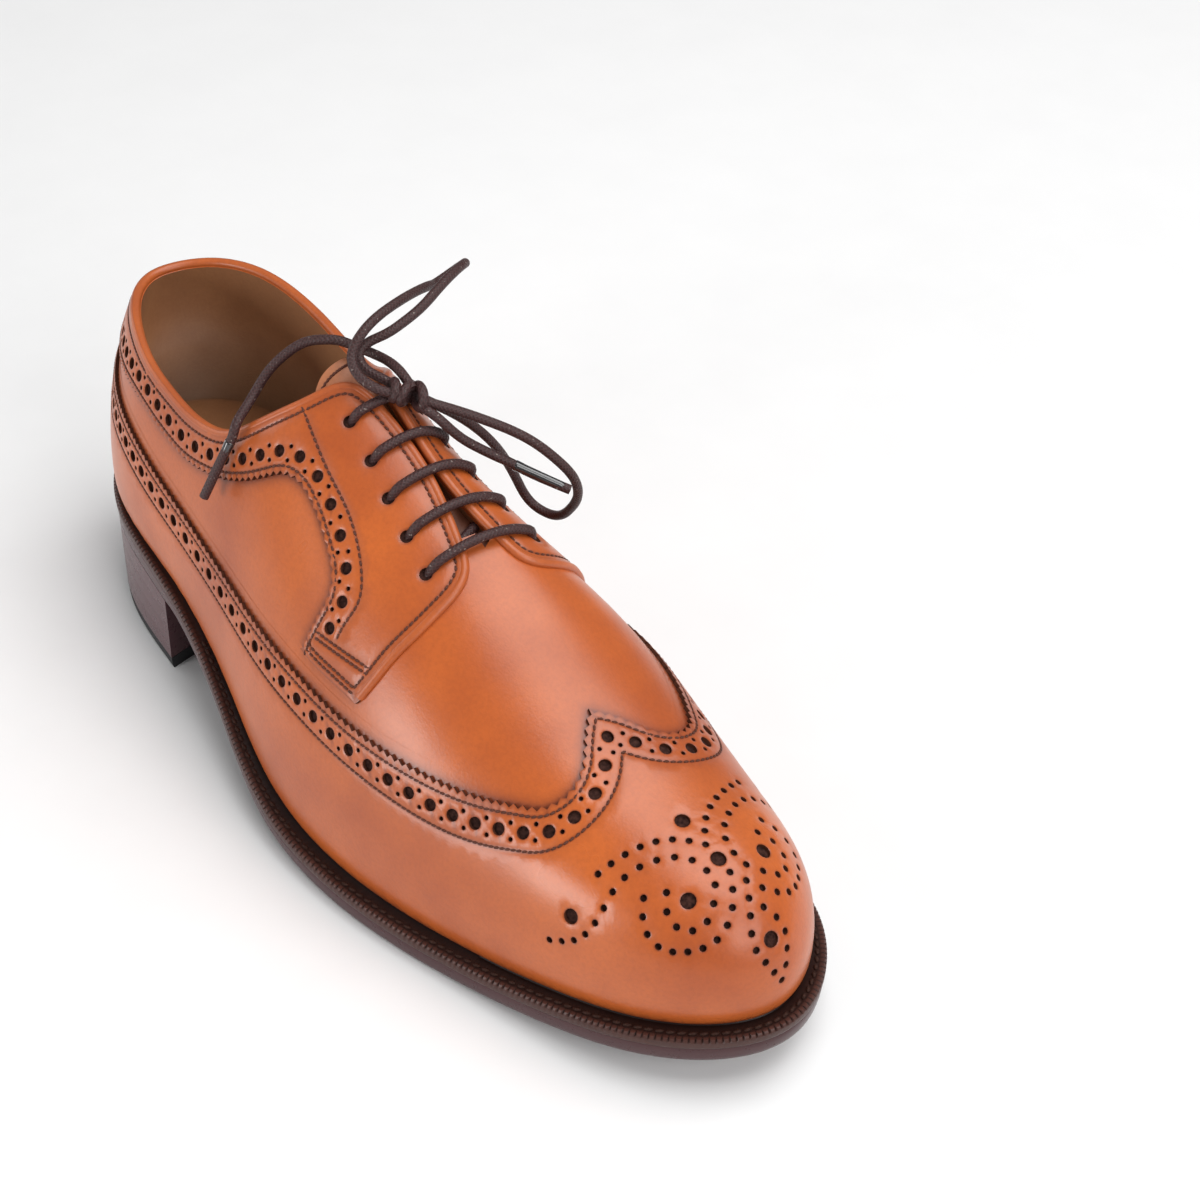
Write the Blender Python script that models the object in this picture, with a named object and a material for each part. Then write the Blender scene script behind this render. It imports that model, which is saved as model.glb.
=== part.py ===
"""Long-wing brogue derby for the right foot: welted sole, heel, hollow upper, overlays, tongue and lace.

Sizes are in millimetres from the feather line, the edge where the upper meets the welt. Its heel end
is x = 0 and its toe end is x = FEATHER_LENGTH. The solids are placed in metres: toe along +X, big-toe
side along +Y, floor at z = 0 and the middle of the heel's tread at the origin.
"""
import math
from collections import namedtuple
from itertools import takewhile

import bmesh
import bpy
import numpy as np

# Driving sizes
MM = 0.001
FEATHER_LENGTH = 287.0
TOE_TIP_Y = 6.3
HEEL_CENTRE_X = 34.0
GAP = 0.3
OVERLAY_GAP = 0.55
OUTSOLE_THICKNESS = 5.3
WELT_THICKNESS = 3.0
WELT_INNER_MARGIN = 6.0
WELT_TOP = OUTSOLE_THICKNESS + GAP + WELT_THICKNESS
FEATHER_LEVEL = WELT_TOP + GAP
WALL = 1.8
OVERLAY_THICKNESS = 1.0
OVERLAY_OFFSETS = (OVERLAY_GAP, OVERLAY_GAP + OVERLAY_THICKNESS)
TONGUE_THICKNESS = 2.0
INSOLE_EDGE_THICKNESS = 2.1
HEEL_BREAST_X = 69.0
BREAST_HOLLOW = 4.0
TOP_PIECE_THICKNESS = 4.0
TOE_POLE = 30.0
HEEL_POLE = 34.0
POLE_REACH = 2.2
THROAT_END_X = 172.0
THROAT_CLOSE = 3.5
LACE_DIAMETER = 2.7
AGLET_DIAMETER = 2.6
SEAM = 0.0005
WELD_DISTANCE = 0.00002
SMOOTH_ANGLE = math.radians(40.0)
COLUMNS_PER_SIDE = 41
UPPER_ROWS = 10
TURN_WEIGHT = 60.0
FINE_SAMPLES = 1500
NORMAL_STEP = 0.0004
RIDGE_LIMIT = 0.9985

# The feather line seen from above, at stations along the foot
Outline = namedtuple("Outline", "x lateral medial")
OUTLINE = [
    Outline(8, -15.6, 18.1),
    Outline(35, -32.3, 29.3),
    Outline(75, -37.2, 27.0),
    Outline(110, -42.3, 24.0),
    Outline(145, -49.0, 28.7),
    Outline(185, -46.7, 42.6),
    Outline(215, -39.2, 44.3),
    Outline(245, -30.1, 39.6),
    Outline(272, -17.1, 29.3),
]

# Height of the outsole's underside: heel seat, arch, flat tread and toe spring
Tread = namedtuple("Tread", "x height")
TREAD = [
    Tread(0, 28.8),
    Tread(70, 26.3),
    Tread(110, 14.1),
    Tread(145, 3.4),
    Tread(180, 0.0),
    Tread(205, 0.0),
    Tread(230, 1.7),
    Tread(260, 6.6),
    Tread(287, 10.8),
]

# How far the sole's edge stands out from the feather line
Extension = namedtuple("Extension", "x reach")
EXTENSION = [
    Extension(0, 1.8),
    Extension(60, 2.8),
    Extension(110, 4.8),
    Extension(190, 5.5),
    Extension(287, 5.5),
]

# Edge profiles of the sole's layers: margin from the sole's edge, and level above its underside
EdgeStep = namedtuple("EdgeStep", "margin level")
OUTSOLE_EDGE = [
    EdgeStep(-1.2, 0.0),
    EdgeStep(-0.3, 0.8),
    EdgeStep(-0.1, 3.0),
    EdgeStep(-0.5, OUTSOLE_THICKNESS),
]
WELT_BASE = OUTSOLE_THICKNESS + GAP
WELT_EDGE = [
    EdgeStep(-0.4, WELT_BASE),
    EdgeStep(0.3, WELT_BASE + 0.7),
    EdgeStep(0.3, WELT_TOP - 0.9),
    EdgeStep(-0.6, WELT_TOP),
]
# The insole's margins are from the feather line
INSOLE_MARGIN = WALL + 0.9
INSOLE_EDGE = [
    EdgeStep(-WELT_INNER_MARGIN - GAP, WELT_BASE),
    EdgeStep(-WELT_INNER_MARGIN - GAP, FEATHER_LEVEL),
    EdgeStep(-INSOLE_MARGIN, FEATHER_LEVEL),
    EdgeStep(-INSOLE_MARGIN - 0.4, FEATHER_LEVEL + INSOLE_EDGE_THICKNESS),
]

# The heel's levels: margin from the sole's edge, and height above the floor
HeelStep = namedtuple("HeelStep", "margin height")
HEEL_SEAT_MARGIN = 0.0
HEEL_SEAM_MARGIN = 0.5
TOP_PIECE_EDGE = [
    HeelStep(0.0, 0.0),
    HeelStep(0.4, 0.8),
    HeelStep(HEEL_SEAM_MARGIN, TOP_PIECE_THICKNESS),
]
HEEL_STEPS = 11
BREAST_STEPS = 5

# The last's ridge, from above the heel to the toe
Ridge = namedtuple("Ridge", "x side height")
RIDGE = [
    Ridge(30, 2.2, 117.3),
    Ridge(90, 3.6, 119.9),
    Ridge(115, 5.0, 115.0),
    Ridge(140, 5.5, 103.4),
    Ridge(165, 5.1, 92.3),
    Ridge(190, 4.4, 80.7),
    Ridge(215, 3.8, 66.9),
    Ridge(240, 3.9, 58.3),
    Ridge(258, 5.2, 55.0),
]

# Section form at each station: roundness of the quarter arch and how far the wall swells
Section = namedtuple("Section", "x lateral_round medial_round lateral_swell medial_swell")
SECTIONS = [
    Section(0, 1.73, 1.73, 2.6, 2.6),
    Section(40, 1.67, 1.90, 2.0, 4.4),
    Section(90, 1.67, 1.92, 2.4, 4.1),
    Section(130, 1.70, 1.92, 2.4, 3.6),
    Section(170, 1.87, 2.17, 2.0, 3.1),
    Section(210, 2.00, 2.28, 2.1, 3.0),
    Section(250, 2.21, 2.28, 2.1, 2.7),
    Section(287, 2.32, 2.32, 2.5, 2.5),
]

# The wing's upper edge along the side. A rise is a share of the way from the feather line to the ridge
WingSide = namedtuple("WingSide", "x rise")
WING_SIDE = [
    WingSide(0, 0.400),
    WingSide(20, 0.360),
    WingSide(42, 0.325),
    WingSide(69, 0.286),
    WingSide(85, 0.283),
    WingSide(100, 0.294),
    WingSide(116, 0.317),
    WingSide(132, 0.348),
    WingSide(145, 0.371),
    WingSide(167, 0.396),
    WingSide(187, 0.435),
    WingSide(202, 0.492),
    WingSide(214, 0.568),
]

# Ribs of the wing from its foot on the feather line to its scooped edge, its peak and then the ridge
WingRib = namedtuple("WingRib", "foot bend edge rise")
WING_PEAK = [
    WingRib(221, 0.30, 219.5, 0.615),
    WingRib(229, 0.35, 223.8, 0.660),
    WingRib(235, 0.45, 226.0, 0.715),
    WingRib(240, 0.60, 226.4, 0.790),
    WingRib(244, 0.70, 224.0, 0.860),
    WingRib(248, 0.78, 219.0, 0.925),
    WingRib(252, 0.90, 213.5, 1.0),
    WingRib(255, 0.90, 222.0, 1.0),
    WingRib(258, 0.90, 232.0, 1.0),
    WingRib(262, 0.90, 243.0, 1.0),
    WingRib(267, 0.90, 254.0, 1.0),
    WingRib(272, 0.90, 264.0, 1.0),
    WingRib(277, 0.90, 273.0, 1.0),
    WingRib(281, 0.90, 279.0, 1.0),
    WingRib(284, 0.90, 283.0, 1.0),
    WingRib(286.3, 0.90, 286.0, 1.0),
    WingRib(FEATHER_LENGTH, 0.90, FEATHER_LENGTH, 1.0),
]
WING_SIDE_STEPS = 20
WING_SIDE_BEND = 0.20
WING_ROWS = 8
WING_FOOT_RISE = 0.02

# Ribs of a facing: collar strip, eyestay and tab, from its lower edge to the collar, throat and front
FacingRib = namedtuple("FacingRib", "low_x low_rise top_x top_rise")
FACING = [
    FacingRib(0, 0.430, 0, 0.560),
    FacingRib(10, 0.426, 9, 0.560),
    FacingRib(20, 0.421, 19, 0.556),
    FacingRib(30, 0.418, 29, 0.546),
    FacingRib(39, 0.416, 38, 0.531),
    FacingRib(48, 0.410, 47, 0.515),
    FacingRib(58, 0.400, 56, 0.505),
    FacingRib(66, 0.395, 65, 0.500),
    FacingRib(77, 0.400, 74, 0.501),
    FacingRib(86, 0.422, 82, 0.515),
    FacingRib(95, 0.456, 88, 0.535),
    FacingRib(104, 0.506, 93.5, 0.568),
    FacingRib(112, 0.570, 99, 0.622),
    FacingRib(118, 0.620, 105, 0.700),
    FacingRib(123.5, 0.640, 111, 0.810),
    FacingRib(128, 0.642, 116, 0.925),
    FacingRib(132, 0.638, 124, 0.965),
    FacingRib(138, 0.624, 135, 0.982),
    FacingRib(143.5, 0.604, 145, 0.982),
    FacingRib(146.7, 0.570, 156, 0.961),
    FacingRib(147, 0.530, 166, 0.933),
    FacingRib(146.7, 0.494, 171.5, 0.905),
    FacingRib(146.4, 0.458, 174.3, 0.850),
    FacingRib(146.2, 0.423, 175, 0.780),
    FacingRib(152, 0.428, 174.5, 0.690),
    FacingRib(158, 0.436, 173, 0.600),
    FacingRib(164, 0.444, 171.5, 0.510),
    FacingRib(169.5, 0.450, 170.3, 0.465),
]
FACING_ROWS = 5
FACING_STEPS = 30
FACING_REVEAL = 0.006
MEDIAL_LAG = 3.5
LAG_START_X = 90.0
LAG_REACH = 30.0

# The tongue at stations along the throat, with the rise where its side edge lies
TongueRow = namedtuple("TongueRow", "x rise")
TONGUE = [
    TongueRow(106.5, 0.86),
    TongueRow(109, 0.80),
    TongueRow(115, 0.75),
    TongueRow(130, 0.73),
    TongueRow(150, 0.76),
    TongueRow(170, 0.80),
    TongueRow(182, 0.84),
]
TONGUE_LENGTH_STEPS = 12
TONGUE_WIDTH_STEPS = 8
TONGUE_GAP = 1.2

# Eyelets from the collar down to the tab, on the little-toe side and on the big-toe side
EyeletPair = namedtuple("EyeletPair", "lateral_x lateral_rise medial_x medial_rise")
EYELETS = [
    EyeletPair(123.5, 0.845, 126.5, 0.795),
    EyeletPair(134.5, 0.838, 137.0, 0.780),
    EyeletPair(144.5, 0.825, 147.5, 0.767),
    EyeletPair(155.0, 0.812, 158.3, 0.752),
    EyeletPair(165.5, 0.800, 169.0, 0.744),
]
BAR_CLEARANCE = 0.5
BAR_STEPS = 6
BAR_ARCH = 0.4

# The bow: its knot, and the route of each loop and end from inside the knot
KNOT_CENTRE = (130.5, 9.4, 115.4)
KNOT_RADII = (7.8, 5.2, 4.3)
KNOT_MARGIN = 0.9
LOOP_1 = [
    (129.6, 7.0, 116.2),
    (127.0, 3.2, 117.2),
    (123.6, 0.8, 118.6),
    (118.6, 0.0, 120.6),
    (115.5, 1.4, 123.0),
    (114.2, 4.4, 126.0),
    (112.2, 11.5, 128.6),
    (110.0, 18.5, 128.7),
    (106.6, 26.9, 127.2),
    (102.7, 34.8, 124.4),
    (98.3, 41.1, 121.1),
    (98.4, 44.8, 122.2),
    (100.2, 47.1, 124.6),
    (103.0, 46.9, 127.2),
    (105.4, 44.3, 128.8),
    (109.1, 37.6, 129.8),
    (111.6, 31.6, 129.1),
    (113.8, 24.8, 127.4),
    (114.6, 18.6, 125.8),
    (114.2, 12.4, 124.0),
    (112.9, 8.2, 122.6),
    (113.9, 4.6, 121.2),
    (117.6, 3.6, 119.2),
    (122.0, 5.4, 117.8),
    (126.0, 7.4, 116.6),
]
LOOP_2 = [
    (134.0, 11.0, 114.6),
    (138.2, 16.2, 112.4),
    (144.8, 24.4, 108.2),
    (152.1, 32.0, 103.2),
    (156.7, 37.5, 96.8),
    (158.6, 41.5, 90.3),
    (157.6, 44.0, 83.0),
    (152.3, 45.4, 73.3),
    (145.4, 44.8, 67.0),
    (139.0, 42.6, 67.9),
    (135.7, 39.6, 75.8),
    (135.7, 35.6, 85.1),
    (135.4, 30.0, 94.9),
    (132.9, 23.4, 103.0),
    (131.6, 16.4, 109.6),
    (131.0, 12.0, 113.6),
]
END_1 = [
    (131.0, 9.6, 117.4),
    (126.0, 9.8, 119.4),
    (120.4, 10.0, 119.6),
    (113.6, 9.4, 118.8),
    (107.2, 6.8, 119.2),
    (103.8, 4.2, 120.0),
    (101.6, 1.8, 120.0),
    (97.5, -1.7, 118.4),
    (94.5, -6.0, 115.0),
    (92.4, -11.5, 109.6),
    (92.7, -16.9, 104.2),
    (95.2, -21.7, 102.5),
    (97.2, -25.1, 101.1),
    (97.7, -26.9, 98.0),
]
END_2 = [
    (134.0, 9.6, 113.8),
    (138.0, 12.2, 111.2),
    (140.4, 14.0, 108.6),
    (142.6, 17.0, 104.7),
    (145.8, 21.0, 101.2),
    (149.0, 24.4, 98.8),
    (151.0, 26.8, 97.1),
]
AGLET_1 = ((97.6, -27.4, 97.1), (95.2, -36.1, 80.6))
AGLET_2 = ((151.5, 27.3, 96.7), (162.4, 37.6, 90.2))
CORD_POINT_SPACING = 6.5
CORD_RESOLUTION = 2
KNOT_SUBDIVISIONS = 2
TRIM_SPACING = 0.25

# Colour, roughness and metallic value of each material
Finish = namedtuple("Finish", "colour roughness metallic")
FINISHES = {
    "tan_calf": Finish((0.45, 0.15, 0.045), 0.38, 0.0),
    "tan_calf_light": Finish((0.50, 0.18, 0.06), 0.45, 0.0),
    "sole_leather": Finish((0.035, 0.016, 0.012), 0.35, 0.0),
    "welt_leather": Finish((0.07, 0.028, 0.016), 0.5, 0.0),
    "heel_leather": Finish((0.028, 0.014, 0.012), 0.4, 0.0),
    "rubber": Finish((0.02, 0.02, 0.021), 0.7, 0.0),
    "lining": Finish((0.30, 0.14, 0.06), 0.6, 0.0),
    "lace": Finish((0.028, 0.018, 0.015), 0.55, 0.0),
    "aglet": Finish((0.05, 0.045, 0.045), 0.2, 0.0),
}


class Spline:
    """Cubic spline through values at knots, with free ends, or closed on itself."""

    def __init__(self, knots, values, closed=False):
        self.knots = np.asarray(knots, float)
        self.values = np.asarray(values, float)
        self.closed = closed
        self.widths = np.diff(self.knots)
        self.bends = self.second_derivatives()

    def second_derivatives(self):
        count = len(self.knots)
        width = self.widths
        climb = np.diff(self.values, axis=0) / width.reshape((-1,) + (1,) * (self.values.ndim - 1))
        matrix = np.zeros((count, count))
        target = np.zeros_like(self.values)
        for i in range(1, count - 1):
            matrix[i, i - 1] = width[i - 1]
            matrix[i, i] = 2.0 * (width[i - 1] + width[i])
            matrix[i, i + 1] = width[i]
            target[i] = 6.0 * (climb[i] - climb[i - 1])
        if self.closed:
            matrix[0, 0] = 1.0
            matrix[0, -1] = -1.0
            matrix[-1, 0] = 2.0 * width[0]
            matrix[-1, 1] = width[0]
            matrix[-1, -2] = width[-1]
            matrix[-1, -1] = 2.0 * width[-1]
            target[-1] = 6.0 * (climb[0] - climb[-1])
        else:
            matrix[0, 0] = 1.0
            matrix[-1, -1] = 1.0
        return np.linalg.solve(matrix, target)

    def locate(self, at):
        at = np.asarray(at, float)
        if self.closed:
            at = at % self.knots[-1]
        index = np.clip(np.searchsorted(self.knots, at, side="right") - 1, 0, len(self.widths) - 1)
        width = self.widths[index]
        after = (at - self.knots[index]) / width
        if self.values.ndim > 1:
            width = width[..., None]
            after = after[..., None]
        return index, width, 1.0 - after, after

    def __call__(self, at):
        index, width, before, after = self.locate(at)
        line = before * self.values[index] + after * self.values[index + 1]
        bow = (before ** 3 - before) * self.bends[index] + (after ** 3 - after) * self.bends[index + 1]
        return line + bow * width ** 2 / 6.0

    def slope(self, at):
        index, width, before, after = self.locate(at)
        line = (self.values[index + 1] - self.values[index]) / width
        rising = (3.0 * after ** 2 - 1.0) * self.bends[index + 1]
        falling = (3.0 * before ** 2 - 1.0) * self.bends[index]
        return line + (rising - falling) * width / 6.0


def column(rows, name):
    """One named column of a table."""
    return [getattr(row, name) for row in rows]


def table_spline(rows, name):
    """Spline of one named column of a table, along the foot."""
    return Spline(column(rows, "x"), column(rows, name))


class Last:
    """The form of the foot: a feather line, a ridge, and a quarter arch between them at every station."""

    def __init__(self):
        lateral = [(row.x, row.lateral) for row in OUTLINE]
        medial = [(row.x, row.medial) for row in reversed(OUTLINE)]
        points = np.array([(0.0, 0.0)] + lateral + [(FEATHER_LENGTH, TOE_TIP_Y)] + medial + [(0.0, 0.0)])
        chord = np.sqrt(np.linalg.norm(np.diff(points, axis=0), axis=1))
        travel = np.concatenate([[0.0], np.cumsum(chord)])
        travel /= travel[-1]
        self.outline = Spline(travel, points, closed=True)
        self.toe = travel[len(OUTLINE) + 1]
        self.tread = table_spline(TREAD, "height")
        self.reach = table_spline(EXTENSION, "reach")
        self.ridge_side = table_spline(RIDGE, "side")
        self.ridge_height = table_spline(RIDGE, "height")
        self.rounds = (table_spline(SECTIONS, "lateral_round"), table_spline(SECTIONS, "medial_round"))
        self.swells = (table_spline(SECTIONS, "lateral_swell"), table_spline(SECTIONS, "medial_swell"))
        self.lateral_travel = np.linspace(0.0, self.toe, FINE_SAMPLES)
        self.medial_travel = np.linspace(1.0, self.toe, FINE_SAMPLES)
        self.lateral_x = np.maximum.accumulate(self.outline(self.lateral_travel)[:, 0])
        self.medial_x = np.maximum.accumulate(self.outline(self.medial_travel)[:, 0])

    def travel_at(self, x, medial):
        """Place along the feather line of a station on one side."""
        if medial:
            return np.interp(x, self.medial_x, self.medial_travel)
        return np.interp(x, self.lateral_x, self.lateral_travel)

    def edge(self, travel):
        """Points of the feather line and its outward directions, seen from above."""
        point = self.outline(travel)
        along = self.outline.slope(travel)
        out = np.stack([along[..., 1], -along[..., 0]], -1)
        return point, out / np.linalg.norm(out, axis=-1, keepdims=True)

    def underside(self, x):
        """Height of the outsole's underside above the floor."""
        return np.maximum(self.tread(np.clip(x, -6.0, FEATHER_LENGTH + 8.0)), 0.0)

    def sole_ring(self, travel, margin, level, follow_reach=True):
        """Ring at a margin from the sole's edge or the feather line, and a level above the underside."""
        point, out = self.edge(travel)
        reach = self.reach(np.clip(point[:, 0], 0.0, FEATHER_LENGTH)) if follow_reach else 0.0
        place = point + out * (reach + np.zeros(len(point)) + margin)[:, None]
        return np.column_stack([place, self.underside(place[:, 0]) + level])

    def ridge_x(self, x):
        """Where on the ridge a station's arch ends: stations fan out round the toe and the heel."""
        toe_start = FEATHER_LENGTH - POLE_REACH * TOE_POLE
        heel_end = POLE_REACH * HEEL_POLE
        past = np.clip(x - toe_start, 0.0, None) / (FEATHER_LENGTH - toe_start)
        short = np.clip(heel_end - x, 0.0, None) / heel_end
        return x - TOE_POLE * past ** 2 + HEEL_POLE * short ** 2

    def arch(self, travel, rise):
        """Point of the surface at a place along the feather line and a rise towards the ridge."""
        base, out = self.edge(travel)
        x = np.clip(base[..., 0], 0.0, FEATHER_LENGTH)
        lateral = (travel % 1.0) <= self.toe
        roundness = np.where(lateral, self.rounds[0](x), self.rounds[1](x))
        swell = np.where(lateral, self.swells[0](x), self.swells[1](x))
        top_x = self.ridge_x(base[..., 0])
        top_y = self.ridge_side(top_x)
        top_z = self.ridge_height(top_x)
        lean = self.ridge_height.slope(top_x)
        angle = np.clip(rise, 0.0, 1.0) * math.pi / 2.0
        inward = 1.0 - np.clip(np.cos(angle), 0.0, 1.0) ** (2.0 / roundness)
        upward = np.sin(angle) ** (2.0 / roundness)
        bulge = swell * np.sin(2.0 * angle)
        px = base[..., 0] + (top_x - base[..., 0]) * inward + out[..., 0] * bulge
        py = base[..., 1] + (top_y - base[..., 1]) * inward + out[..., 1] * bulge
        foot_z = self.underside(base[..., 0]) + FEATHER_LEVEL
        full_rise = top_z + lean * (base[..., 0] - top_x) - foot_z
        pz = top_z + lean * (px - top_x) - full_rise * (1.0 - upward)
        return np.stack([px, py, pz], -1)

    def surface(self, travel, rise, offset=0.0):
        """Point of the surface, moved outwards by an offset."""
        point = self.arch(travel, rise)
        ahead = self.arch(travel + NORMAL_STEP, rise) - self.arch(travel - NORMAL_STEP, rise)
        low = np.clip(rise - NORMAL_STEP, 0.0, 1.0)
        high = np.clip(rise + NORMAL_STEP, 0.0, 1.0)
        up = self.arch(travel, high) - self.arch(travel, low)
        normal = np.cross(ahead, up)
        base_x = self.outline(travel)[..., 0]
        lean = self.ridge_height.slope(self.ridge_x(base_x))
        crest = np.stack([-lean, np.zeros_like(lean), np.ones_like(lean)], -1)
        on_ridge = (rise > RIDGE_LIMIT)[..., None]
        normal = np.where(on_ridge, crest, normal)
        normal /= np.linalg.norm(normal, axis=-1, keepdims=True)
        return point + normal * np.broadcast_to(offset, rise.shape)[..., None]


LAST = Last()


def placed(points):
    """Millimetres from the heel end of the feather line, as metres from the heel tread's middle."""
    return (np.asarray(points, float) - np.array([HEEL_CENTRE_X, 0.0, 0.0])) * MM


def make_material(name):
    """Principled material with the finish of that name."""
    finish = FINISHES[name]
    material = bpy.data.materials.new(name)
    material.use_nodes = True
    shader = material.node_tree.nodes["Principled BSDF"]
    shader.inputs["Base Color"].default_value = finish.colour + (1.0,)
    shader.inputs["Roughness"].default_value = finish.roughness
    shader.inputs["Metallic"].default_value = finish.metallic
    return material


def add_object(name, data, finish, collection):
    """Object of that name with its material, in the shoe's collection."""
    part = bpy.data.objects.new(name, data)
    material = bpy.data.materials.get(finish) or make_material(finish)
    data.materials.append(material)
    collection.objects.link(part)
    return part


def mesh_from(name, shape):
    """Mesh of that name from a bmesh, shaded smooth except at its sharp edges."""
    bmesh.ops.remove_doubles(shape, verts=shape.verts, dist=WELD_DISTANCE)
    mesh = bpy.data.meshes.new(name)
    shape.to_mesh(mesh)
    shape.free()
    mesh.shade_smooth()
    mesh.set_sharp_from_angle(angle=SMOOTH_ANGLE)
    return mesh


def add_shell(name, steps, place, offsets, finish, collection):
    """Closed wall between two offsets of the last's surface.

    A grid of quads lies on the first offset, its two parameters from 0 to 1 put through the place
    function. It is extruded, and the new side lies on the second offset.
    """
    shape = bmesh.new()
    bmesh.ops.create_grid(shape, x_segments=steps[0], y_segments=steps[1], size=0.5)
    along = shape.verts.layers.float.new("along")
    over = shape.verts.layers.float.new("over")
    for vert in shape.verts:
        vert[along] = vert.co.x + 0.5
        vert[over] = vert.co.y + 0.5

    def settle(verts, offset):
        length_share = np.array([vert[along] for vert in verts])
        width_share = np.array([vert[over] for vert in verts])
        for vert, point in zip(verts, placed(place(length_share, width_share, offset))):
            vert.co = point

    settle(list(shape.verts), offsets[0])
    bmesh.ops.remove_doubles(shape, verts=shape.verts, dist=WELD_DISTANCE)
    raised = bmesh.ops.extrude_face_region(shape, geom=shape.faces[:], use_keep_orig=True)
    settle([item for item in raised["geom"] if isinstance(item, bmesh.types.BMVert)], offsets[1])
    bmesh.ops.recalc_face_normals(shape, faces=shape.faces)
    return add_object(name, mesh_from(name, shape), finish, collection)


def step_lengths(points):
    """Distances from each point to the next."""
    return np.linalg.norm(np.diff(points, axis=0), axis=1)


def running_length(points):
    """Distance of each point from the first, along the points."""
    return np.concatenate([[0.0], np.cumsum(step_lengths(points))])


def column_travels():
    """Places round the feather line: heel, little-toe side, toe tip, then the same stations back.

    They are closer where the feather line turns and where the opening's edge above it climbs.
    """
    fine = np.linspace(0.0, LAST.toe, FINE_SAMPLES)
    point, out = LAST.edge(fine)
    foot_steps = step_lengths(point)
    top_steps = step_lengths(LAST.surface(fine, opening_rise(point[:, 0], False)))
    turn_steps = TURN_WEIGHT * step_lengths(out)
    weight = np.concatenate([[0.0], np.cumsum(foot_steps + top_steps + turn_steps)])
    lateral = np.interp(np.linspace(0.0, weight[-1], COLUMNS_PER_SIDE + 1), weight, fine)
    medial = LAST.travel_at(LAST.outline(lateral[-2:0:-1])[:, 0], True)
    return np.concatenate([lateral, medial])


def loft_rings(rings, cap_groups):
    """Closed solid through rings of points, with its first and last ring capped by groups of corners."""
    shape = bmesh.new()
    loops = [[shape.verts.new(point) for point in placed(ring)] for ring in rings]
    count = len(loops[0])
    for lower, upper in zip(loops, loops[1:]):
        for i in range(count):
            j = (i + 1) % count
            shape.faces.new((lower[i], lower[j], upper[j], upper[i]))
    for group in cap_groups:
        shape.faces.new([loops[-1][i] for i in group])
        shape.faces.new([loops[0][i] for i in reversed(group)])
    bmesh.ops.recalc_face_normals(shape, faces=shape.faces)
    return shape


def ladder(count):
    """Cap faces between the two sides of a ring whose sides share their stations."""
    groups = [(0, 1, count - 1)]
    for i in range(1, count // 2 - 1):
        groups.append((i, i + 1, count - i - 1, count - i))
    middle = count // 2
    groups.append((middle - 1, middle, middle + 1))
    return groups


def build_outsole(collection):
    """Leather sole: full length, with rounded edges, a waist, a flat tread and a sprung toe."""
    travel = column_travels()
    rings = [LAST.sole_ring(travel, step.margin, step.level) for step in OUTSOLE_EDGE]
    shape = loft_rings(rings, ladder(len(travel)))
    return add_object("outsole", mesh_from("outsole", shape), "sole_leather", collection)


def build_welt(collection):
    """Strip round the shoe between the sole and the upper, with a rounded rim."""
    travel = column_travels()
    rings = [LAST.sole_ring(travel, step.margin, step.level) for step in WELT_EDGE]
    rings.append(LAST.sole_ring(travel, -WELT_INNER_MARGIN, WELT_TOP, follow_reach=False))
    rings.append(LAST.sole_ring(travel, -WELT_INNER_MARGIN, WELT_BASE, follow_reach=False))
    rings.append(rings[0])
    shape = loft_rings(rings, [])
    return add_object("welt", mesh_from("welt", shape), "welt_leather", collection)


def build_insole(collection):
    """Board on the sole: its middle fills the welt's ring, its thinner edge lies inside the upper."""
    travel = column_travels()
    rings = [LAST.sole_ring(travel, step.margin, step.level, follow_reach=False) for step in INSOLE_EDGE]
    shape = loft_rings(rings, ladder(len(travel)))
    return add_object("insole", mesh_from("insole", shape), "lining", collection)


def heel_ring(margin, height):
    """Ring of the heel, from its back round the hollow breast, at a height or else under the seat."""
    stations = HEEL_BREAST_X * np.linspace(0.0, 1.0, HEEL_STEPS) ** 2
    lateral = LAST.sole_ring(LAST.travel_at(stations, False), margin, -GAP)
    medial = LAST.sole_ring(LAST.travel_at(stations[:0:-1], True), margin, -GAP)
    share = np.linspace(0.0, 1.0, BREAST_STEPS + 2)[1:-1, None]
    breast = lateral[-1] * (1.0 - share) + medial[0] * share
    breast[:, 0] -= 4.0 * BREAST_HOLLOW * (share * (1.0 - share))[:, 0]
    breast[:, 2] = LAST.underside(breast[:, 0]) - GAP
    ring = np.vstack([lateral, breast, medial])
    if height is not None:
        ring[:, 2] = height
    return ring


def heel_cap():
    """Cap faces of a heel ring: a ladder between its sides, and two fans to the breast."""
    count = 2 * HEEL_STEPS - 1 + BREAST_STEPS
    groups = [(0, 1, count - 1)]
    for i in range(1, HEEL_STEPS - 2):
        groups.append((i, i + 1, count - i - 1, count - i))
    lateral = HEEL_STEPS - 2
    medial = count - lateral
    centre = (lateral + medial) // 2
    groups += [(lateral, i, i + 1) for i in range(lateral + 1, centre)]
    groups.append((lateral, centre, medial))
    groups += [(medial, i, i + 1) for i in range(centre, medial - 1)]
    return groups


def build_heel(collection):
    """Stack of leather lifts under the seat, and the rubber top piece that meets the floor."""
    foot_ring = heel_ring(HEEL_SEAM_MARGIN, TOP_PIECE_THICKNESS + GAP)
    seat_ring = heel_ring(HEEL_SEAT_MARGIN, None)
    stack = loft_rings([foot_ring, seat_ring], heel_cap())
    add_object("heel_stack", mesh_from("heel_stack", stack), "heel_leather", collection)
    top_piece = loft_rings([heel_ring(step.margin, step.height) for step in TOP_PIECE_EDGE], heel_cap())
    add_object("heel_top_piece", mesh_from("heel_top_piece", top_piece), "rubber", collection)


def facing_lag(x):
    """How much further forward a facing lies on the big-toe side."""
    return MEDIAL_LAG * np.clip((np.asarray(x, float) - LAG_START_X) / LAG_REACH, 0.0, 1.0)


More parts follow.
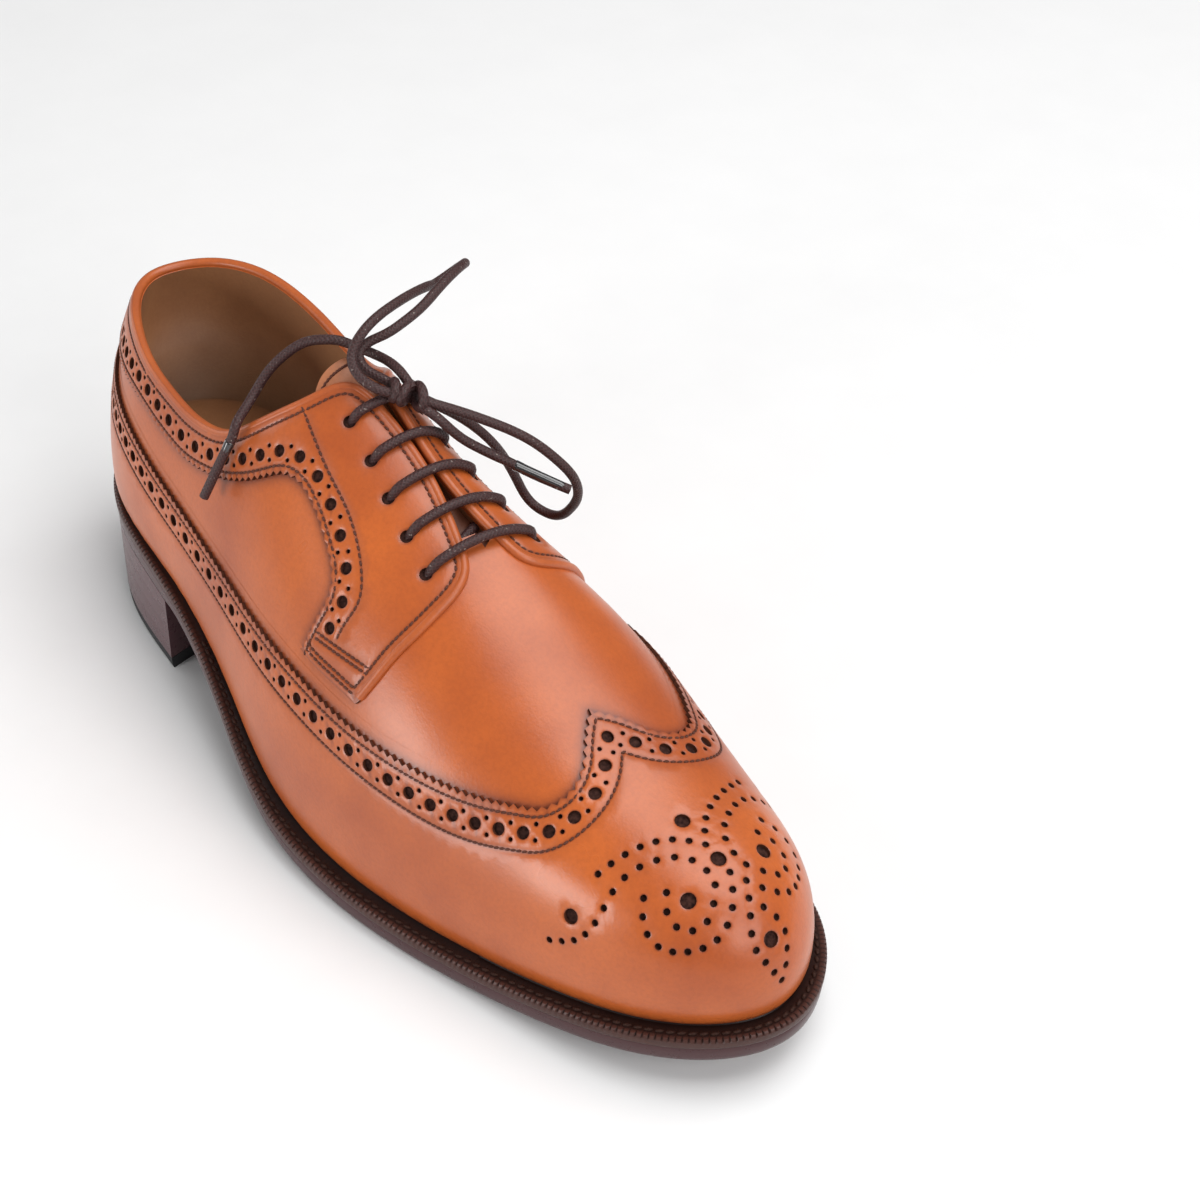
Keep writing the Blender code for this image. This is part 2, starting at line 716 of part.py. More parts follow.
def opening_rise(x, medial):
    """Rise of the collar's and throat's edge at a station, and of the ridge ahead of the throat."""
    rows = list(takewhile(lambda row: row.top_x < THROAT_END_X, FACING))
    edge_x = np.array(column(rows, "top_x"), float)
    edge_rise = np.array(column(rows, "top_rise"), float) - FACING_REVEAL
    edge_x = np.append(edge_x, edge_x[-1] + THROAT_CLOSE)
    edge_rise = np.append(edge_rise, 1.0)
    lag = facing_lag(edge_x) if medial else 0.0
    return np.interp(x, edge_x + lag, edge_rise)


def build_upper(collection):
    """Vamp and quarters as one hollow wall, open at the collar, the throat and underneath."""
    travel = np.append(column_travels(), 1.0)
    base_x = LAST.outline(travel)[:, 0]
    medial = travel > LAST.toe
    top = np.where(medial, opening_rise(base_x, True), opening_rise(base_x, False))
    order = np.linspace(0.0, 1.0, len(travel))

    def place(along, over, offset):
        return LAST.surface(np.interp(along, order, travel), np.interp(along, order, top) * over, offset)

    steps = (len(travel) - 1, UPPER_ROWS)
    return add_shell("upper", steps, place, (0.0, -WALL), "tan_calf", collection)


def wing_ribs():
    """Ribs of one half of the wing, from the heel seam to the toe tip."""
    edge = table_spline(WING_SIDE, "rise")
    side_end = LAST.travel_at(WING_SIDE[-1].x, False)
    stations = LAST.outline(np.linspace(0.0, side_end, WING_SIDE_STEPS))[:, 0]
    ribs = [WingRib(x, WING_SIDE_BEND, x, float(edge(x))) for x in stations]
    return ribs + WING_PEAK


def build_wing(collection):
    """Long wing over the upper's foot, from the heel seam round the toe and back to it."""
    ribs = wing_ribs()
    lateral_count = len(ribs)
    ribs = ribs + ribs[-2::-1]
    foot = np.array(column(ribs, "foot"), float)
    bend = np.array(column(ribs, "bend"), float)
    edge = np.array(column(ribs, "edge"), float)
    rise = np.array(column(ribs, "rise"), float)

    def place(along, over, offset):
        index = np.rint(along * (len(ribs) - 1)).astype(int)
        start = (1.0 - over) ** 2
        middle = 2.0 * over * (1.0 - over)
        finish = over ** 2
        x = (start + middle) * foot[index] + finish * edge[index]
        turn = np.minimum(bend[index], rise[index])
        height = start * WING_FOOT_RISE + middle * turn + finish * rise[index]
        lateral = np.clip(LAST.travel_at(x, False), SEAM, None)
        medial = np.clip(LAST.travel_at(x, True), None, 1.0 - SEAM)
        travel = np.where(index < lateral_count, lateral, medial)
        return LAST.surface(travel, height, offset)

    steps = (len(ribs) - 1, WING_ROWS)
    return add_shell("wing", steps, place, OVERLAY_OFFSETS, "tan_calf", collection)


def facing_edges(medial):
    """Lower and upper edge of a facing: splines of place and rise over the length of its ribs' middles."""
    low_x = np.array(column(FACING, "low_x"), float)
    top_x = np.array(column(FACING, "top_x"), float)
    if medial:
        low_x = low_x + facing_lag(low_x)
        top_x = top_x + facing_lag(top_x)
    low = np.column_stack([LAST.travel_at(low_x, medial), column(FACING, "low_rise")])
    top = np.column_stack([LAST.travel_at(top_x, medial), column(FACING, "top_rise")])
    middle = LAST.surface((low[:, 0] + top[:, 0]) / 2.0, (low[:, 1] + top[:, 1]) / 2.0)
    length = running_length(middle)
    return Spline(length, low), Spline(length, top), length[-1]


def build_facing(side, medial, collection):
    """Collar strip, eyestay and tab of one side, over the quarter."""
    low, top, length = facing_edges(medial)

    def place(along, over, offset):
        share = over[:, None]
        spot = low(along * length) * (1.0 - share) + top(along * length) * share
        travel = np.clip(spot[:, 0], SEAM, 1.0 - SEAM)
        return LAST.surface(travel, spot[:, 1], offset)

    steps = (FACING_STEPS, FACING_ROWS)
    return add_shell("facing_" + side, steps, place, OVERLAY_OFFSETS, "tan_calf", collection)


def build_tongue(collection):
    """Flap under the facings and the vamp's edge, a little longer than the throat."""
    half_rise = table_spline(TONGUE, "rise")
    first = TONGUE[0].x
    last = TONGUE[-1].x
    depth = WALL + TONGUE_GAP

    def place(along, over, offset):
        x = first + (last - first) * along
        reach = (1.0 - half_rise(x)) * (2.0 * over - 1.0)
        rise = 1.0 - np.abs(reach)
        travel = np.where(reach > 0.0, LAST.travel_at(x, True), LAST.travel_at(x, False))
        return LAST.surface(travel, rise, offset)

    steps = (TONGUE_LENGTH_STEPS, TONGUE_WIDTH_STEPS)
    offsets = (-depth, -depth - TONGUE_THICKNESS)
    return add_shell("tongue", steps, place, offsets, "tan_calf_light", collection)


def smooth_points(points, spacing):
    """Points at an even spacing along a smooth curve through the route's own points."""
    route = np.asarray(points, float)
    travel = running_length(route)
    steps = max(2, int(round(travel[-1] / spacing)))
    return Spline(travel, route)(np.linspace(0.0, travel[-1], steps + 1))


def outside_knot(points):
    """Which points lie clear of the knot."""
    reach = np.array(KNOT_RADII) + KNOT_MARGIN
    return np.linalg.norm((points - np.array(KNOT_CENTRE)) / reach, axis=1) > 1.0


def bow_route(route):
    """Route of a loop or an end, from the knot's surface on, at the cord's own spacing."""
    fine = smooth_points(route, TRIM_SPACING)
    return smooth_points(fine[outside_knot(fine)], CORD_POINT_SPACING)


def add_cord(name, points, diameter, finish, collection):
    """Round cord along points, closed at both ends."""
    curve = bpy.data.curves.new(name, "CURVE")
    curve.dimensions = "3D"
    curve.bevel_depth = diameter / 2.0 * MM
    curve.bevel_resolution = CORD_RESOLUTION
    curve.use_fill_caps = True
    spline = curve.splines.new("POLY")
    spline.points.add(len(points) - 1)
    for knot, point in zip(spline.points, placed(points)):
        knot.co = (point[0], point[1], point[2], 1.0)
    return add_object(name, curve, finish, collection)


def bar_points(pair):
    """Line of a lace bar over the facings, from one eyelet to the other."""
    share = np.linspace(0.0, 1.0, BAR_STEPS + 1)
    lateral_span = 1.0 - pair.lateral_rise
    medial_span = 1.0 - pair.medial_rise
    turn = -lateral_span + (lateral_span + medial_span) * share
    x = pair.lateral_x + (pair.medial_x - pair.lateral_x) * share
    travel = np.where(turn > 0.0, LAST.travel_at(x, True), LAST.travel_at(x, False))
    lift = OVERLAY_GAP + OVERLAY_THICKNESS + BAR_CLEARANCE + LACE_DIAMETER / 2.0
    lift = lift + BAR_ARCH * np.sin(math.pi * share)
    return LAST.surface(travel, 1.0 - np.abs(turn), lift)


def build_lace(collection):
    """Straight bars across the throat, then the knot, loops and ends of the bow."""
    top = smooth_points(bar_points(EYELETS[0]), TRIM_SPACING)
    covered = np.flatnonzero(~outside_knot(top))
    top_bars = {"lateral": top[:covered[0]], "medial": top[covered[-1] + 1:]}
    for side, points in top_bars.items():
        points = smooth_points(points, CORD_POINT_SPACING / 2.0)
        add_cord("lace_bar_1_" + side, points, LACE_DIAMETER, "lace", collection)
    for number, pair in enumerate(EYELETS[1:], start=2):
        add_cord("lace_bar_%d" % number, bar_points(pair), LACE_DIAMETER, "lace", collection)
    routes = {"lace_loop_1": LOOP_1, "lace_loop_2": LOOP_2, "lace_end_1": END_1, "lace_end_2": END_2}
    for name, route in routes.items():
        add_cord(name, bow_route(route), LACE_DIAMETER, "lace", collection)
    add_cord("aglet_1", AGLET_1, AGLET_DIAMETER, "aglet", collection)
    add_cord("aglet_2", AGLET_2, AGLET_DIAMETER, "aglet", collection)
    knot = bmesh.new()
    bmesh.ops.create_icosphere(knot, subdivisions=KNOT_SUBDIVISIONS, radius=1.0)
    centre = placed(KNOT_CENTRE)
    for vert in knot.verts:
        vert.co = centre + np.array(vert.co) * np.array(KNOT_RADII) * MM
    add_object("lace_knot", mesh_from("lace_knot", knot), "lace", collection)


def main():
    for leftover in list(bpy.data.objects):
        bpy.data.objects.remove(leftover, do_unlink=True)
    collection = bpy.data.collections.new("brogue_derby")
    bpy.context.scene.collection.children.link(collection)
    build_outsole(collection)
    build_welt(collection)
    build_heel(collection)
    build_insole(collection)
    build_upper(collection)
    build_wing(collection)
    build_facing("lateral", False, collection)
    build_facing("medial", True, collection)
    build_tongue(collection)
    build_lace(collection)


main()
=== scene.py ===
"""Brogue derby for the right foot, dressed for the eye on the frame of its solids.

Sizes are in millimetres from the heel end of the feather line, the edge where the upper meets the welt.
The leather pieces are drawn on a flat pattern and laid on the last. Meshes are placed in metres.
"""
import logging
import math
from dataclasses import dataclass, field
from enum import Enum
from typing import Sequence

import bmesh
import bpy
import numpy as np
from mathutils import Matrix, Vector
from mathutils.geometry import delaunay_2d_cdt
from mathutils.kdtree import KDTree


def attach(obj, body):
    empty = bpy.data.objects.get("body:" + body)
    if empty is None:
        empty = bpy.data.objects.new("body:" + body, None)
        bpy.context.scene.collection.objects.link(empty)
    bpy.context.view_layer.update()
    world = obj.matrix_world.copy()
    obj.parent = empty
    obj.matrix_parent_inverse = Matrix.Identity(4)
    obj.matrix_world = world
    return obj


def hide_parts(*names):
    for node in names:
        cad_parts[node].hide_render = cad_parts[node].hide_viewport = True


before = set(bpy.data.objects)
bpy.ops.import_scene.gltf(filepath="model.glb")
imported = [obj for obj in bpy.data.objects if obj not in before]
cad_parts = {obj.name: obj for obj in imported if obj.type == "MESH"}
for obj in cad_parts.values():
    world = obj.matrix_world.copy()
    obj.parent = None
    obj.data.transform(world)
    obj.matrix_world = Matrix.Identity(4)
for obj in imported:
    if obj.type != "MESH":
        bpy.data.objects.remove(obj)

log = logging.getLogger("derby")

MM = 0.001
HEEL_CENTRE_X = 34.0
FEATHER_LENGTH = 287.0
TOE_TIP = (287.0, 6.3)
OUTSOLE_THICKNESS = 5.3
WELT_TOP = 8.6
FEATHER_LEVEL = 8.9
SMOOTH_ANGLE = math.radians(42.0)
WELD = 0.000004
# Mesh attribute that darkens a finish: burnish at cut edges and hole rims, painted shade in grooves, notches
# and down the throat
BURNISH_AND_SHADE = "burnish_and_shade"
Array = np.ndarray
Shape = bmesh.types.BMesh
Socket = bpy.types.NodeSocket
# What an input of a material's node gets
Feed = float | tuple | Socket


class Side(Enum):
    """The two sides of the shoe: lateral by the little toe, medial by the big toe."""

    LATERAL = "lateral"
    MEDIAL = "medial"


def placed(points: Array) -> Array:
    """Millimetres from the heel end of the feather line, as metres in the frame."""
    return (np.asarray(points, float) - np.array([HEEL_CENTRE_X, 0.0, 0.0])) * MM


def running_length(points: Array) -> Array:
    """Distance of each point from the first, along the points."""
    steps = np.linalg.norm(np.diff(points, axis=0), axis=1)
    return np.concatenate([[0.0], np.cumsum(steps)])


def unit(vectors: Array) -> Array:
    """The same ways with a length of one."""
    return vectors / np.linalg.norm(vectors, axis=-1, keepdims=True)


def rightward(ways: Array) -> Array:
    """Directions to the right of ways on the flat pattern."""
    return np.column_stack([ways[:, 1], -ways[:, 0]])


def square_to(vectors: Array, axes: Array) -> Array:
    """Ways with a length of one, without what they share with axes of that length."""
    return unit(vectors - axes * (vectors * axes).sum(axis=-1, keepdims=True))


def axes_matrix(axes: Sequence[Array], origin: Array) -> Matrix:
    """Makes a placing matrix.

    Args:
        axes: Its three axes.
        origin: Its place.

    Returns:
        The matrix.
    """
    matrix = Matrix.Identity(4)
    for index, axis in enumerate(axes):
        matrix.col[index] = (*axis, 0.0)
    matrix.col[3] = (*origin, 1.0)
    return matrix


def faded(value: Array, start: float, reach: float) -> Array:
    """Share that grows from 0 at a start to 1 at a reach beyond it."""
    return np.clip((np.asarray(value, float) - start) / reach, 0.0, 1.0)


class Spline:
    """Cubic spline through values at knots, with free ends or closed on itself."""

    def __init__(self, knots: Array, values: Array, closed: bool = False) -> None:
        """Solves the spline.

        Args:
            knots: Rising positions.
            values: A number or a point at each knot.
            closed: Whether the last value joins the first one smoothly.
        """
        self.knots = np.asarray(knots, float)
        self.values = np.asarray(values, float)
        self.closed = closed
        self.widths = np.diff(self.knots)
        self.bends = self._bends()

    def _bends(self) -> Array:
        """Solves for the second derivatives.

        Returns:
            A second derivative at each knot.
        """
        count = len(self.knots)
        width = self.widths
        climb = np.diff(self.values, axis=0) / width.reshape((-1,) + (1,) * (self.values.ndim - 1))
        matrix = np.zeros((count, count))
        target = np.zeros_like(self.values)
        for i in range(1, count - 1):
            matrix[i, i - 1 : i + 2] = (width[i - 1], 2.0 * (width[i - 1] + width[i]), width[i])
            target[i] = 6.0 * (climb[i] - climb[i - 1])
        matrix[0, 0] = 1.0
        matrix[-1, -1] = 1.0
        if self.closed:
            matrix[0, -1] = -1.0
            matrix[-1, :2] = (2.0 * width[0], width[0])
            matrix[-1, -2:] = (width[-1], 2.0 * width[-1])
            target[-1] = 6.0 * (climb[0] - climb[-1])
        return np.linalg.solve(matrix, target)

    def _locate(self, at: Array) -> tuple[Array, Array, Array, Array]:
        """Finds the spans that positions lie in.

        Args:
            at: Positions.

        Returns:
            Span, its width, and the shares of its first and its second knot at each position.
        """
        at = np.asarray(at, float)
        if self.closed:
            at = at % self.knots[-1]
        index = np.clip(np.searchsorted(self.knots, at, side="right") - 1, 0, len(self.widths) - 1)
        width = self.widths[index]
        after = (at - self.knots[index]) / width
        if self.values.ndim > 1:
            width = width[..., None]
            after = after[..., None]
        return index, width, 1.0 - after, after

    def __call__(self, at: Array) -> Array:
        """Reads the spline.

        Args:
            at: Positions.

        Returns:
            A value at each position.
        """
        index, width, before, after = self._locate(at)
        line = before * self.values[index] + after * self.values[index + 1]
        bow = (before**3 - before) * self.bends[index] + (after**3 - after) * self.bends[index + 1]
        return line + bow * width**2 / 6.0

    def slope(self, at: Array) -> Array:
        """Reads the spline's first derivative.

        Args:
            at: Positions.

        Returns:
            A derivative at each position.
        """
        index, width, before, after = self._locate(at)
        line = (self.values[index + 1] - self.values[index]) / width
        rising = (3.0 * after**2 - 1.0) * self.bends[index + 1]
        falling = (3.0 * before**2 - 1.0) * self.bends[index]
        return line + (rising - falling) * width / 6.0


@dataclass(frozen=True)
class Table:
    """A short table with named columns."""

    names: tuple[str, ...]
    rows: tuple[tuple[float, ...], ...]

    def column(self, name: str) -> Array:
        """One named column."""
        return np.array(self.rows, float)[:, self.names.index(name)]

    def spline(self, name: str) -> Spline:
        """Spline of one named column along the foot."""
        return Spline(self.column("x"), self.column(name))


# Feather line: its distance to the little-toe side and to the big-toe side at each station
OUTLINE = Table(
    ("x", "lateral", "medial"),
    (
        (8, -15.6, 18.1), (35, -32.3, 29.3), (75, -37.2, 27.0), (110, -42.3, 24.0), (145, -49.0, 28.7),
        (185, -46.7, 42.6), (215, -39.2, 44.3), (245, -30.1, 39.6), (272, -17.1, 29.3),
    ),
)
# Height of the outsole's underside
TREAD = Table(
    ("x", "height"),
    (
        (0, 28.8), (70, 26.3), (110, 14.1), (145, 3.4), (180, 0.0), (205, 0.0), (230, 1.7), (260, 6.6),
        (287, 10.8),
    ),
)
# How far the sole's edge stands out from the feather line
EXTENSION = Table(("x", "reach"), ((0, 1.8), (60, 2.8), (110, 4.8), (190, 5.5), (287, 5.5)))
# Middle line of the sole, which its faces are drawn in to
SOLE_MIDDLE = Table(("x", "side"), ((0, -1.0), (110, -9.0), (200, -1.0), (287, 6.0)))
# The last's ridge
RIDGE = Table(
    ("x", "side", "height"),
    (
        (30, 2.2, 117.3), (90, 3.6, 119.9), (115, 5.0, 115.0), (140, 5.5, 103.4), (165, 5.1, 92.3),
        (190, 4.4, 80.7), (215, 3.8, 66.9), (240, 3.9, 58.3), (258, 5.2, 55.0),
    ),
)
# Roundness of the arch and swell of the wall on each side
SECTIONS = Table(
    ("x", "lateral_round", "medial_round", "lateral_swell", "medial_swell"),
    (
        (0, 1.73, 1.73, 2.6, 2.6), (40, 1.67, 1.90, 2.0, 4.4), (90, 1.67, 1.92, 2.4, 4.1),
        (130, 1.70, 1.92, 2.4, 3.6), (170, 1.87, 2.17, 2.0, 3.1), (210, 2.00, 2.28, 2.1, 3.0),
        (250, 2.21, 2.28, 2.1, 2.7), (287, 2.32, 2.32, 2.5, 2.5),
    ),
)
# Points of the upper have a station on the feather line and a rise, 0 there and 1 on the ridge
WING_EDGE = Table(
    ("x", "rise"),
    (
        (0, 0.400), (20, 0.360), (42, 0.325), (69, 0.286), (85, 0.283), (100, 0.294), (116, 0.317),
        (132, 0.348), (145, 0.371), (167, 0.396), (187, 0.435), (202, 0.492), (214, 0.568), (219.5, 0.615),
        (223.8, 0.660), (226.0, 0.715), (226.4, 0.790), (224.0, 0.860), (219.0, 0.925), (213.5, 1.0),
    ),
)
# Lower edge and upper edge of a facing at each of its ribs
FACING = Table(
    ("low_x", "low_rise", "top_x", "top_rise"),
    (
        (0, 0.430, 0, 0.560), (10, 0.426, 9, 0.560), (20, 0.421, 19, 0.556), (30, 0.418, 29, 0.546),
        (39, 0.416, 38, 0.531), (48, 0.410, 47, 0.515), (58, 0.400, 56, 0.505), (66, 0.395, 65, 0.500),
        (77, 0.400, 74, 0.501), (86, 0.422, 82, 0.515), (95, 0.456, 88, 0.535), (104, 0.506, 93.5, 0.568),
        (112, 0.570, 99, 0.622), (118, 0.620, 105, 0.700), (123.5, 0.640, 111, 0.810),
        (128, 0.642, 116, 0.925), (132, 0.638, 124, 0.965), (138, 0.624, 135, 0.982),
        (143.5, 0.604, 145, 0.982), (146.7, 0.570, 156, 0.961), (147, 0.530, 166, 0.933),
        (146.7, 0.494, 171.5, 0.905), (146.4, 0.458, 174.3, 0.850), (146.2, 0.423, 175, 0.780),
        (152, 0.428, 174.5, 0.690), (158, 0.436, 173, 0.600), (164, 0.444, 171.5, 0.510),
        (169.5, 0.450, 170.3, 0.465),
    ),
)
COLLAR_END_RIB = 14
TAB_CORNER_RIB = 23
EYESTAY_ROW = Table(
    ("x", "rise"),
    (
        (110.4, 0.759), (121, 0.733), (129, 0.722), (137.4, 0.717), (145, 0.700), (151, 0.672),
        (156, 0.622), (156, 0.556), (156, 0.517),
    ),
)
TAB_ROW = Table(("x", "rise"), ((149, 0.485), (159, 0.512), (168.6, 0.538)))
EYELETS = Table(
    ("lateral_x", "lateral_rise", "medial_x", "medial_rise"),
    (
        (123.5, 0.845, 126.5, 0.795), (134.5, 0.838, 137.0, 0.780), (144.5, 0.825, 147.5, 0.767),
        (155.0, 0.812, 158.3, 0.752), (165.5, 0.800, 169.0, 0.744),
    ),
)
# Side edge of the tongue
TONGUE = Table(
    ("x", "rise"),
    ((106.5, 0.80), (110, 0.78), (116, 0.75), (130, 0.73), (150, 0.76), (170, 0.80), (182, 0.84)),
)
# The bow: middle of its knot, and the route of each loop, end and tip from inside the knot
KNOT_CENTRE = (130.5, 9.4, 115.4)
LOOP_1 = (
    (129.6, 7.0, 116.2), (127.0, 3.2, 117.2), (123.6, 0.8, 118.6), (118.6, 0.0, 120.6), (115.5, 1.4, 123.0),
    (114.2, 4.4, 126.0), (112.2, 11.5, 128.6), (110.0, 18.5, 128.7), (106.6, 26.9, 127.2),
    (102.7, 34.8, 124.4), (98.3, 41.1, 121.1), (98.4, 44.8, 122.2), (100.2, 47.1, 124.6),
    (103.0, 46.9, 127.2), (105.4, 44.3, 128.8), (109.1, 37.6, 129.8), (111.6, 31.6, 129.1),
    (113.8, 24.8, 127.4), (114.6, 18.6, 125.8), (114.2, 12.4, 124.0), (112.9, 8.2, 122.6),
    (113.9, 4.6, 121.2), (117.6, 3.6, 119.2), (122.0, 5.4, 117.8), (126.0, 7.4, 116.6),
)
LOOP_2 = (
    (134.0, 11.0, 114.6), (138.2, 16.2, 112.4), (144.8, 24.4, 108.2), (152.1, 32.0, 103.2),
    (156.7, 37.5, 96.8), (158.6, 41.5, 90.3), (157.6, 44.0, 83.0), (152.3, 45.4, 73.3), (145.4, 44.8, 67.0),
    (139.0, 42.6, 67.9), (135.7, 39.6, 75.8), (135.7, 35.6, 85.1), (135.4, 30.0, 94.9),
    (132.9, 23.4, 103.0), (131.6, 16.4, 109.6), (131.0, 12.0, 113.6),
)
END_1 = (
    (131.0, 9.6, 117.4), (126.0, 9.8, 119.4), (120.4, 10.0, 119.6), (113.6, 9.4, 118.8),
    (107.2, 6.8, 119.2), (103.8, 4.2, 120.0), (101.6, 1.8, 120.0), (97.5, -1.7, 118.4), (94.5, -6.0, 115.0),
    (92.4, -11.5, 109.6), (92.7, -16.9, 104.2), (95.2, -21.7, 102.5), (97.2, -25.1, 101.1),
    (97.7, -26.9, 98.0),
)
END_2 = (
    (134.0, 9.6, 113.8), (138.0, 12.2, 111.2), (140.4, 14.0, 108.6), (142.6, 17.0, 104.7),
    (145.8, 21.0, 101.2), (149.0, 24.4, 98.8), (151.0, 26.8, 97.1),
)
AGLET_1 = ((97.6, -27.4, 97.1), (95.2, -36.1, 80.6))
AGLET_2 = ((151.5, 27.3, 96.7), (162.4, 37.6, 90.2))


class Last:
    """The form of the foot: a feather line, a ridge, and a quarter arch between them at every station."""

    TOE_POLE = 30.0
    HEEL_POLE = 34.0
    POLE_REACH = 2.2
    HEEL_SPARE = 6.0
    TOE_SPARE = 8.0
    SAMPLES = 1500
    STATION_STEP = 1e-6
    NORMAL_STEP = 0.0004
    RIDGE_LIMIT = 0.9985

    def __init__(self) -> None:
        """Works out the splines of the feather line, the ridge and the sections."""
        stations = OUTLINE.column("x")
        lateral = np.column_stack([stations, OUTLINE.column("lateral")])
        medial = np.column_stack([stations, OUTLINE.column("medial")])[::-1]
        points = np.vstack([(0.0, 0.0), lateral, TOE_TIP, medial, (0.0, 0.0)])
        chord = np.sqrt(np.linalg.norm(np.diff(points, axis=0), axis=1))
        travel = np.concatenate([[0.0], np.cumsum(chord)])
        travel /= travel[-1]
        self.outline = Spline(travel, points, closed=True)
        self.toe = travel[len(stations) + 1]
        self.tread = TREAD.spline("height")
        self.reach = EXTENSION.spline("reach")
        self.ridge_side = RIDGE.spline("side")
        self.ridge_height = RIDGE.spline("height")
        self.rounds = [SECTIONS.spline(side.value + "_round") for side in Side]
        self.swells = [SECTIONS.spline(side.value + "_swell") for side in Side]
        self.travels = {
            Side.LATERAL: np.linspace(0.0, self.toe, self.SAMPLES),
            Side.MEDIAL: np.linspace(1.0, self.toe, self.SAMPLES),
        }
        rising = self.STATION_STEP * np.arange(self.SAMPLES)
        self.stations = {}
        for side, places in self.travels.items():
            self.stations[side] = np.maximum.accumulate(self.outline(places)[:, 0]) + rising

    def travel_at(self, x: Array, side: Side) -> Array:
        """Places along the feather line of stations on one side."""
        return np.interp(x, self.stations[side], self.travels[side])

    def crossing(self, x: Array, turn: Array) -> tuple[Array, Array]:
        """Charts a way across the ridge.

        Args:
            x: Stations.
            turn: Distances from the ridge in rise, below 0 on the lateral side.

        Returns:
            Places along the feather line, and rises.
        """
        lateral = self.travel_at(x, Side.LATERAL)
        travel = np.where(turn > 0.0, self.travel_at(x, Side.MEDIAL), lateral)
        return travel, 1.0 - np.abs(turn)

    def edge(self, travel: Array) -> tuple[Array, Array]:
        """Reads the feather line as seen from above.

        Args:
            travel: Places along the feather line.

        Returns:
            Points of the line, and its outward directions.
        """
        along = self.outline.slope(travel)
        out = np.stack([along[..., 1], -along[..., 0]], -1)
        return self.outline(travel), unit(out)

    def underside(self, x: Array) -> Array:
        """Heights of the outsole's underside above the floor."""
        return np.maximum(self.tread(np.clip(x, -self.HEEL_SPARE, FEATHER_LENGTH + self.TOE_SPARE)), 0.0)

    def ridge_x(self, x: Array) -> Array:
        """Finds where on the ridge the arches end: stations fan out round the toe and the heel.

        Args:
            x: Stations on the feather line.

        Returns:
            Stations on the ridge.
        """
        toe_reach = self.POLE_REACH * self.TOE_POLE
        heel_reach = self.POLE_REACH * self.HEEL_POLE
        past = np.clip(x - FEATHER_LENGTH + toe_reach, 0.0, None) / toe_reach
        short = np.clip(heel_reach - x, 0.0, None) / heel_reach
        return x - self.TOE_POLE * past**2 + self.HEEL_POLE * short**2

    def arch(self, travel: Array, rise: Array) -> Array:
        """Reads the last's surface.

        Args:
            travel: Places along the feather line.
            rise: Rises from the feather line towards the ridge.

        Returns:
            Points of the surface.
        """
        base, out = self.edge(travel)
        x = np.clip(base[..., 0], 0.0, FEATHER_LENGTH)
        lateral = (travel % 1.0) <= self.toe
        roundness = np.where(lateral, self.rounds[0](x), self.rounds[1](x))
        swell = np.where(lateral, self.swells[0](x), self.swells[1](x))
        top_x = self.ridge_x(base[..., 0])
        top_y = self.ridge_side(top_x)
        top_z = self.ridge_height(top_x)
        lean = self.ridge_height.slope(top_x)
        angle = np.clip(rise, 0.0, 1.0) * math.pi / 2.0
        inward = 1.0 - np.clip(np.cos(angle), 0.0, 1.0) ** (2.0 / roundness)
        upward = np.sin(angle) ** (2.0 / roundness)
        bulge = swell * np.sin(2.0 * angle)
        px = base[..., 0] + (top_x - base[..., 0]) * inward + out[..., 0] * bulge
        py = base[..., 1] + (top_y - base[..., 1]) * inward + out[..., 1] * bulge
        foot_z = self.underside(base[..., 0]) + FEATHER_LEVEL
        full_rise = top_z + lean * (base[..., 0] - top_x) - foot_z
        pz = top_z + lean * (px - top_x) - full_rise * (1.0 - upward)
        return np.stack([px, py, pz], -1)

    def normal(self, travel: Array, rise: Array) -> Array:
        """Reads the ways out of the last's surface.

        Args:
            travel: Places along the feather line.
            rise: Rises from the feather line towards the ridge.

        Returns:
            Outward directions.
        """
        ahead = self.arch(travel + self.NORMAL_STEP, rise) - self.arch(travel - self.NORMAL_STEP, rise)
        low = np.clip(rise - self.NORMAL_STEP, 0.0, 1.0)
        high = np.clip(rise + self.NORMAL_STEP, 0.0, 1.0)
        up = self.arch(travel, high) - self.arch(travel, low)
        lean = self.ridge_height.slope(self.ridge_x(self.outline(travel)[..., 0]))
        crest = np.stack([-lean, np.zeros_like(lean), np.ones_like(lean)], -1)
        on_ridge = (rise > self.RIDGE_LIMIT)[..., None]
        return unit(np.where(on_ridge, crest, np.cross(ahead, up)))

    def surface(self, travel: Array, rise: Array, offset: Array | float) -> Array:
        """Points of the surface, moved outwards by an offset."""
        shift = np.broadcast_to(offset, np.shape(rise))[..., None]
        return self.arch(travel, rise) + self.normal(travel, rise) * shift

    def ring(
        self, travel: Array, margin: Array | float, level: Array | float, from_sole: bool = True
    ) -> Array:
        """Draws a line round the sole.

        Args:
            travel: Places along the feather line.
            margin: Distance out from the sole's edge, or from the feather line.
            level: Height above the outsole's underside.
            from_sole: Whether the margin counts from the sole's edge.

        Returns:
            A point for each place.
        """
        point, out = self.edge(travel)
        reach = self.reach(np.clip(point[..., 0], 0.0, FEATHER_LENGTH)) if from_sole else 0.0
        place = point + out * (reach + np.zeros(point.shape[:-1]) + margin)[..., None]
        height = self.underside(place[..., 0]) + level
        return np.concatenate([place, height[..., None]], -1)


@dataclass
class Rays:
    """Arches of one side rolled out flat: root on the ridge, way, and lengths at even steps of the rise."""

    root: Array
    way: Array
    length: Array
    travel: Array


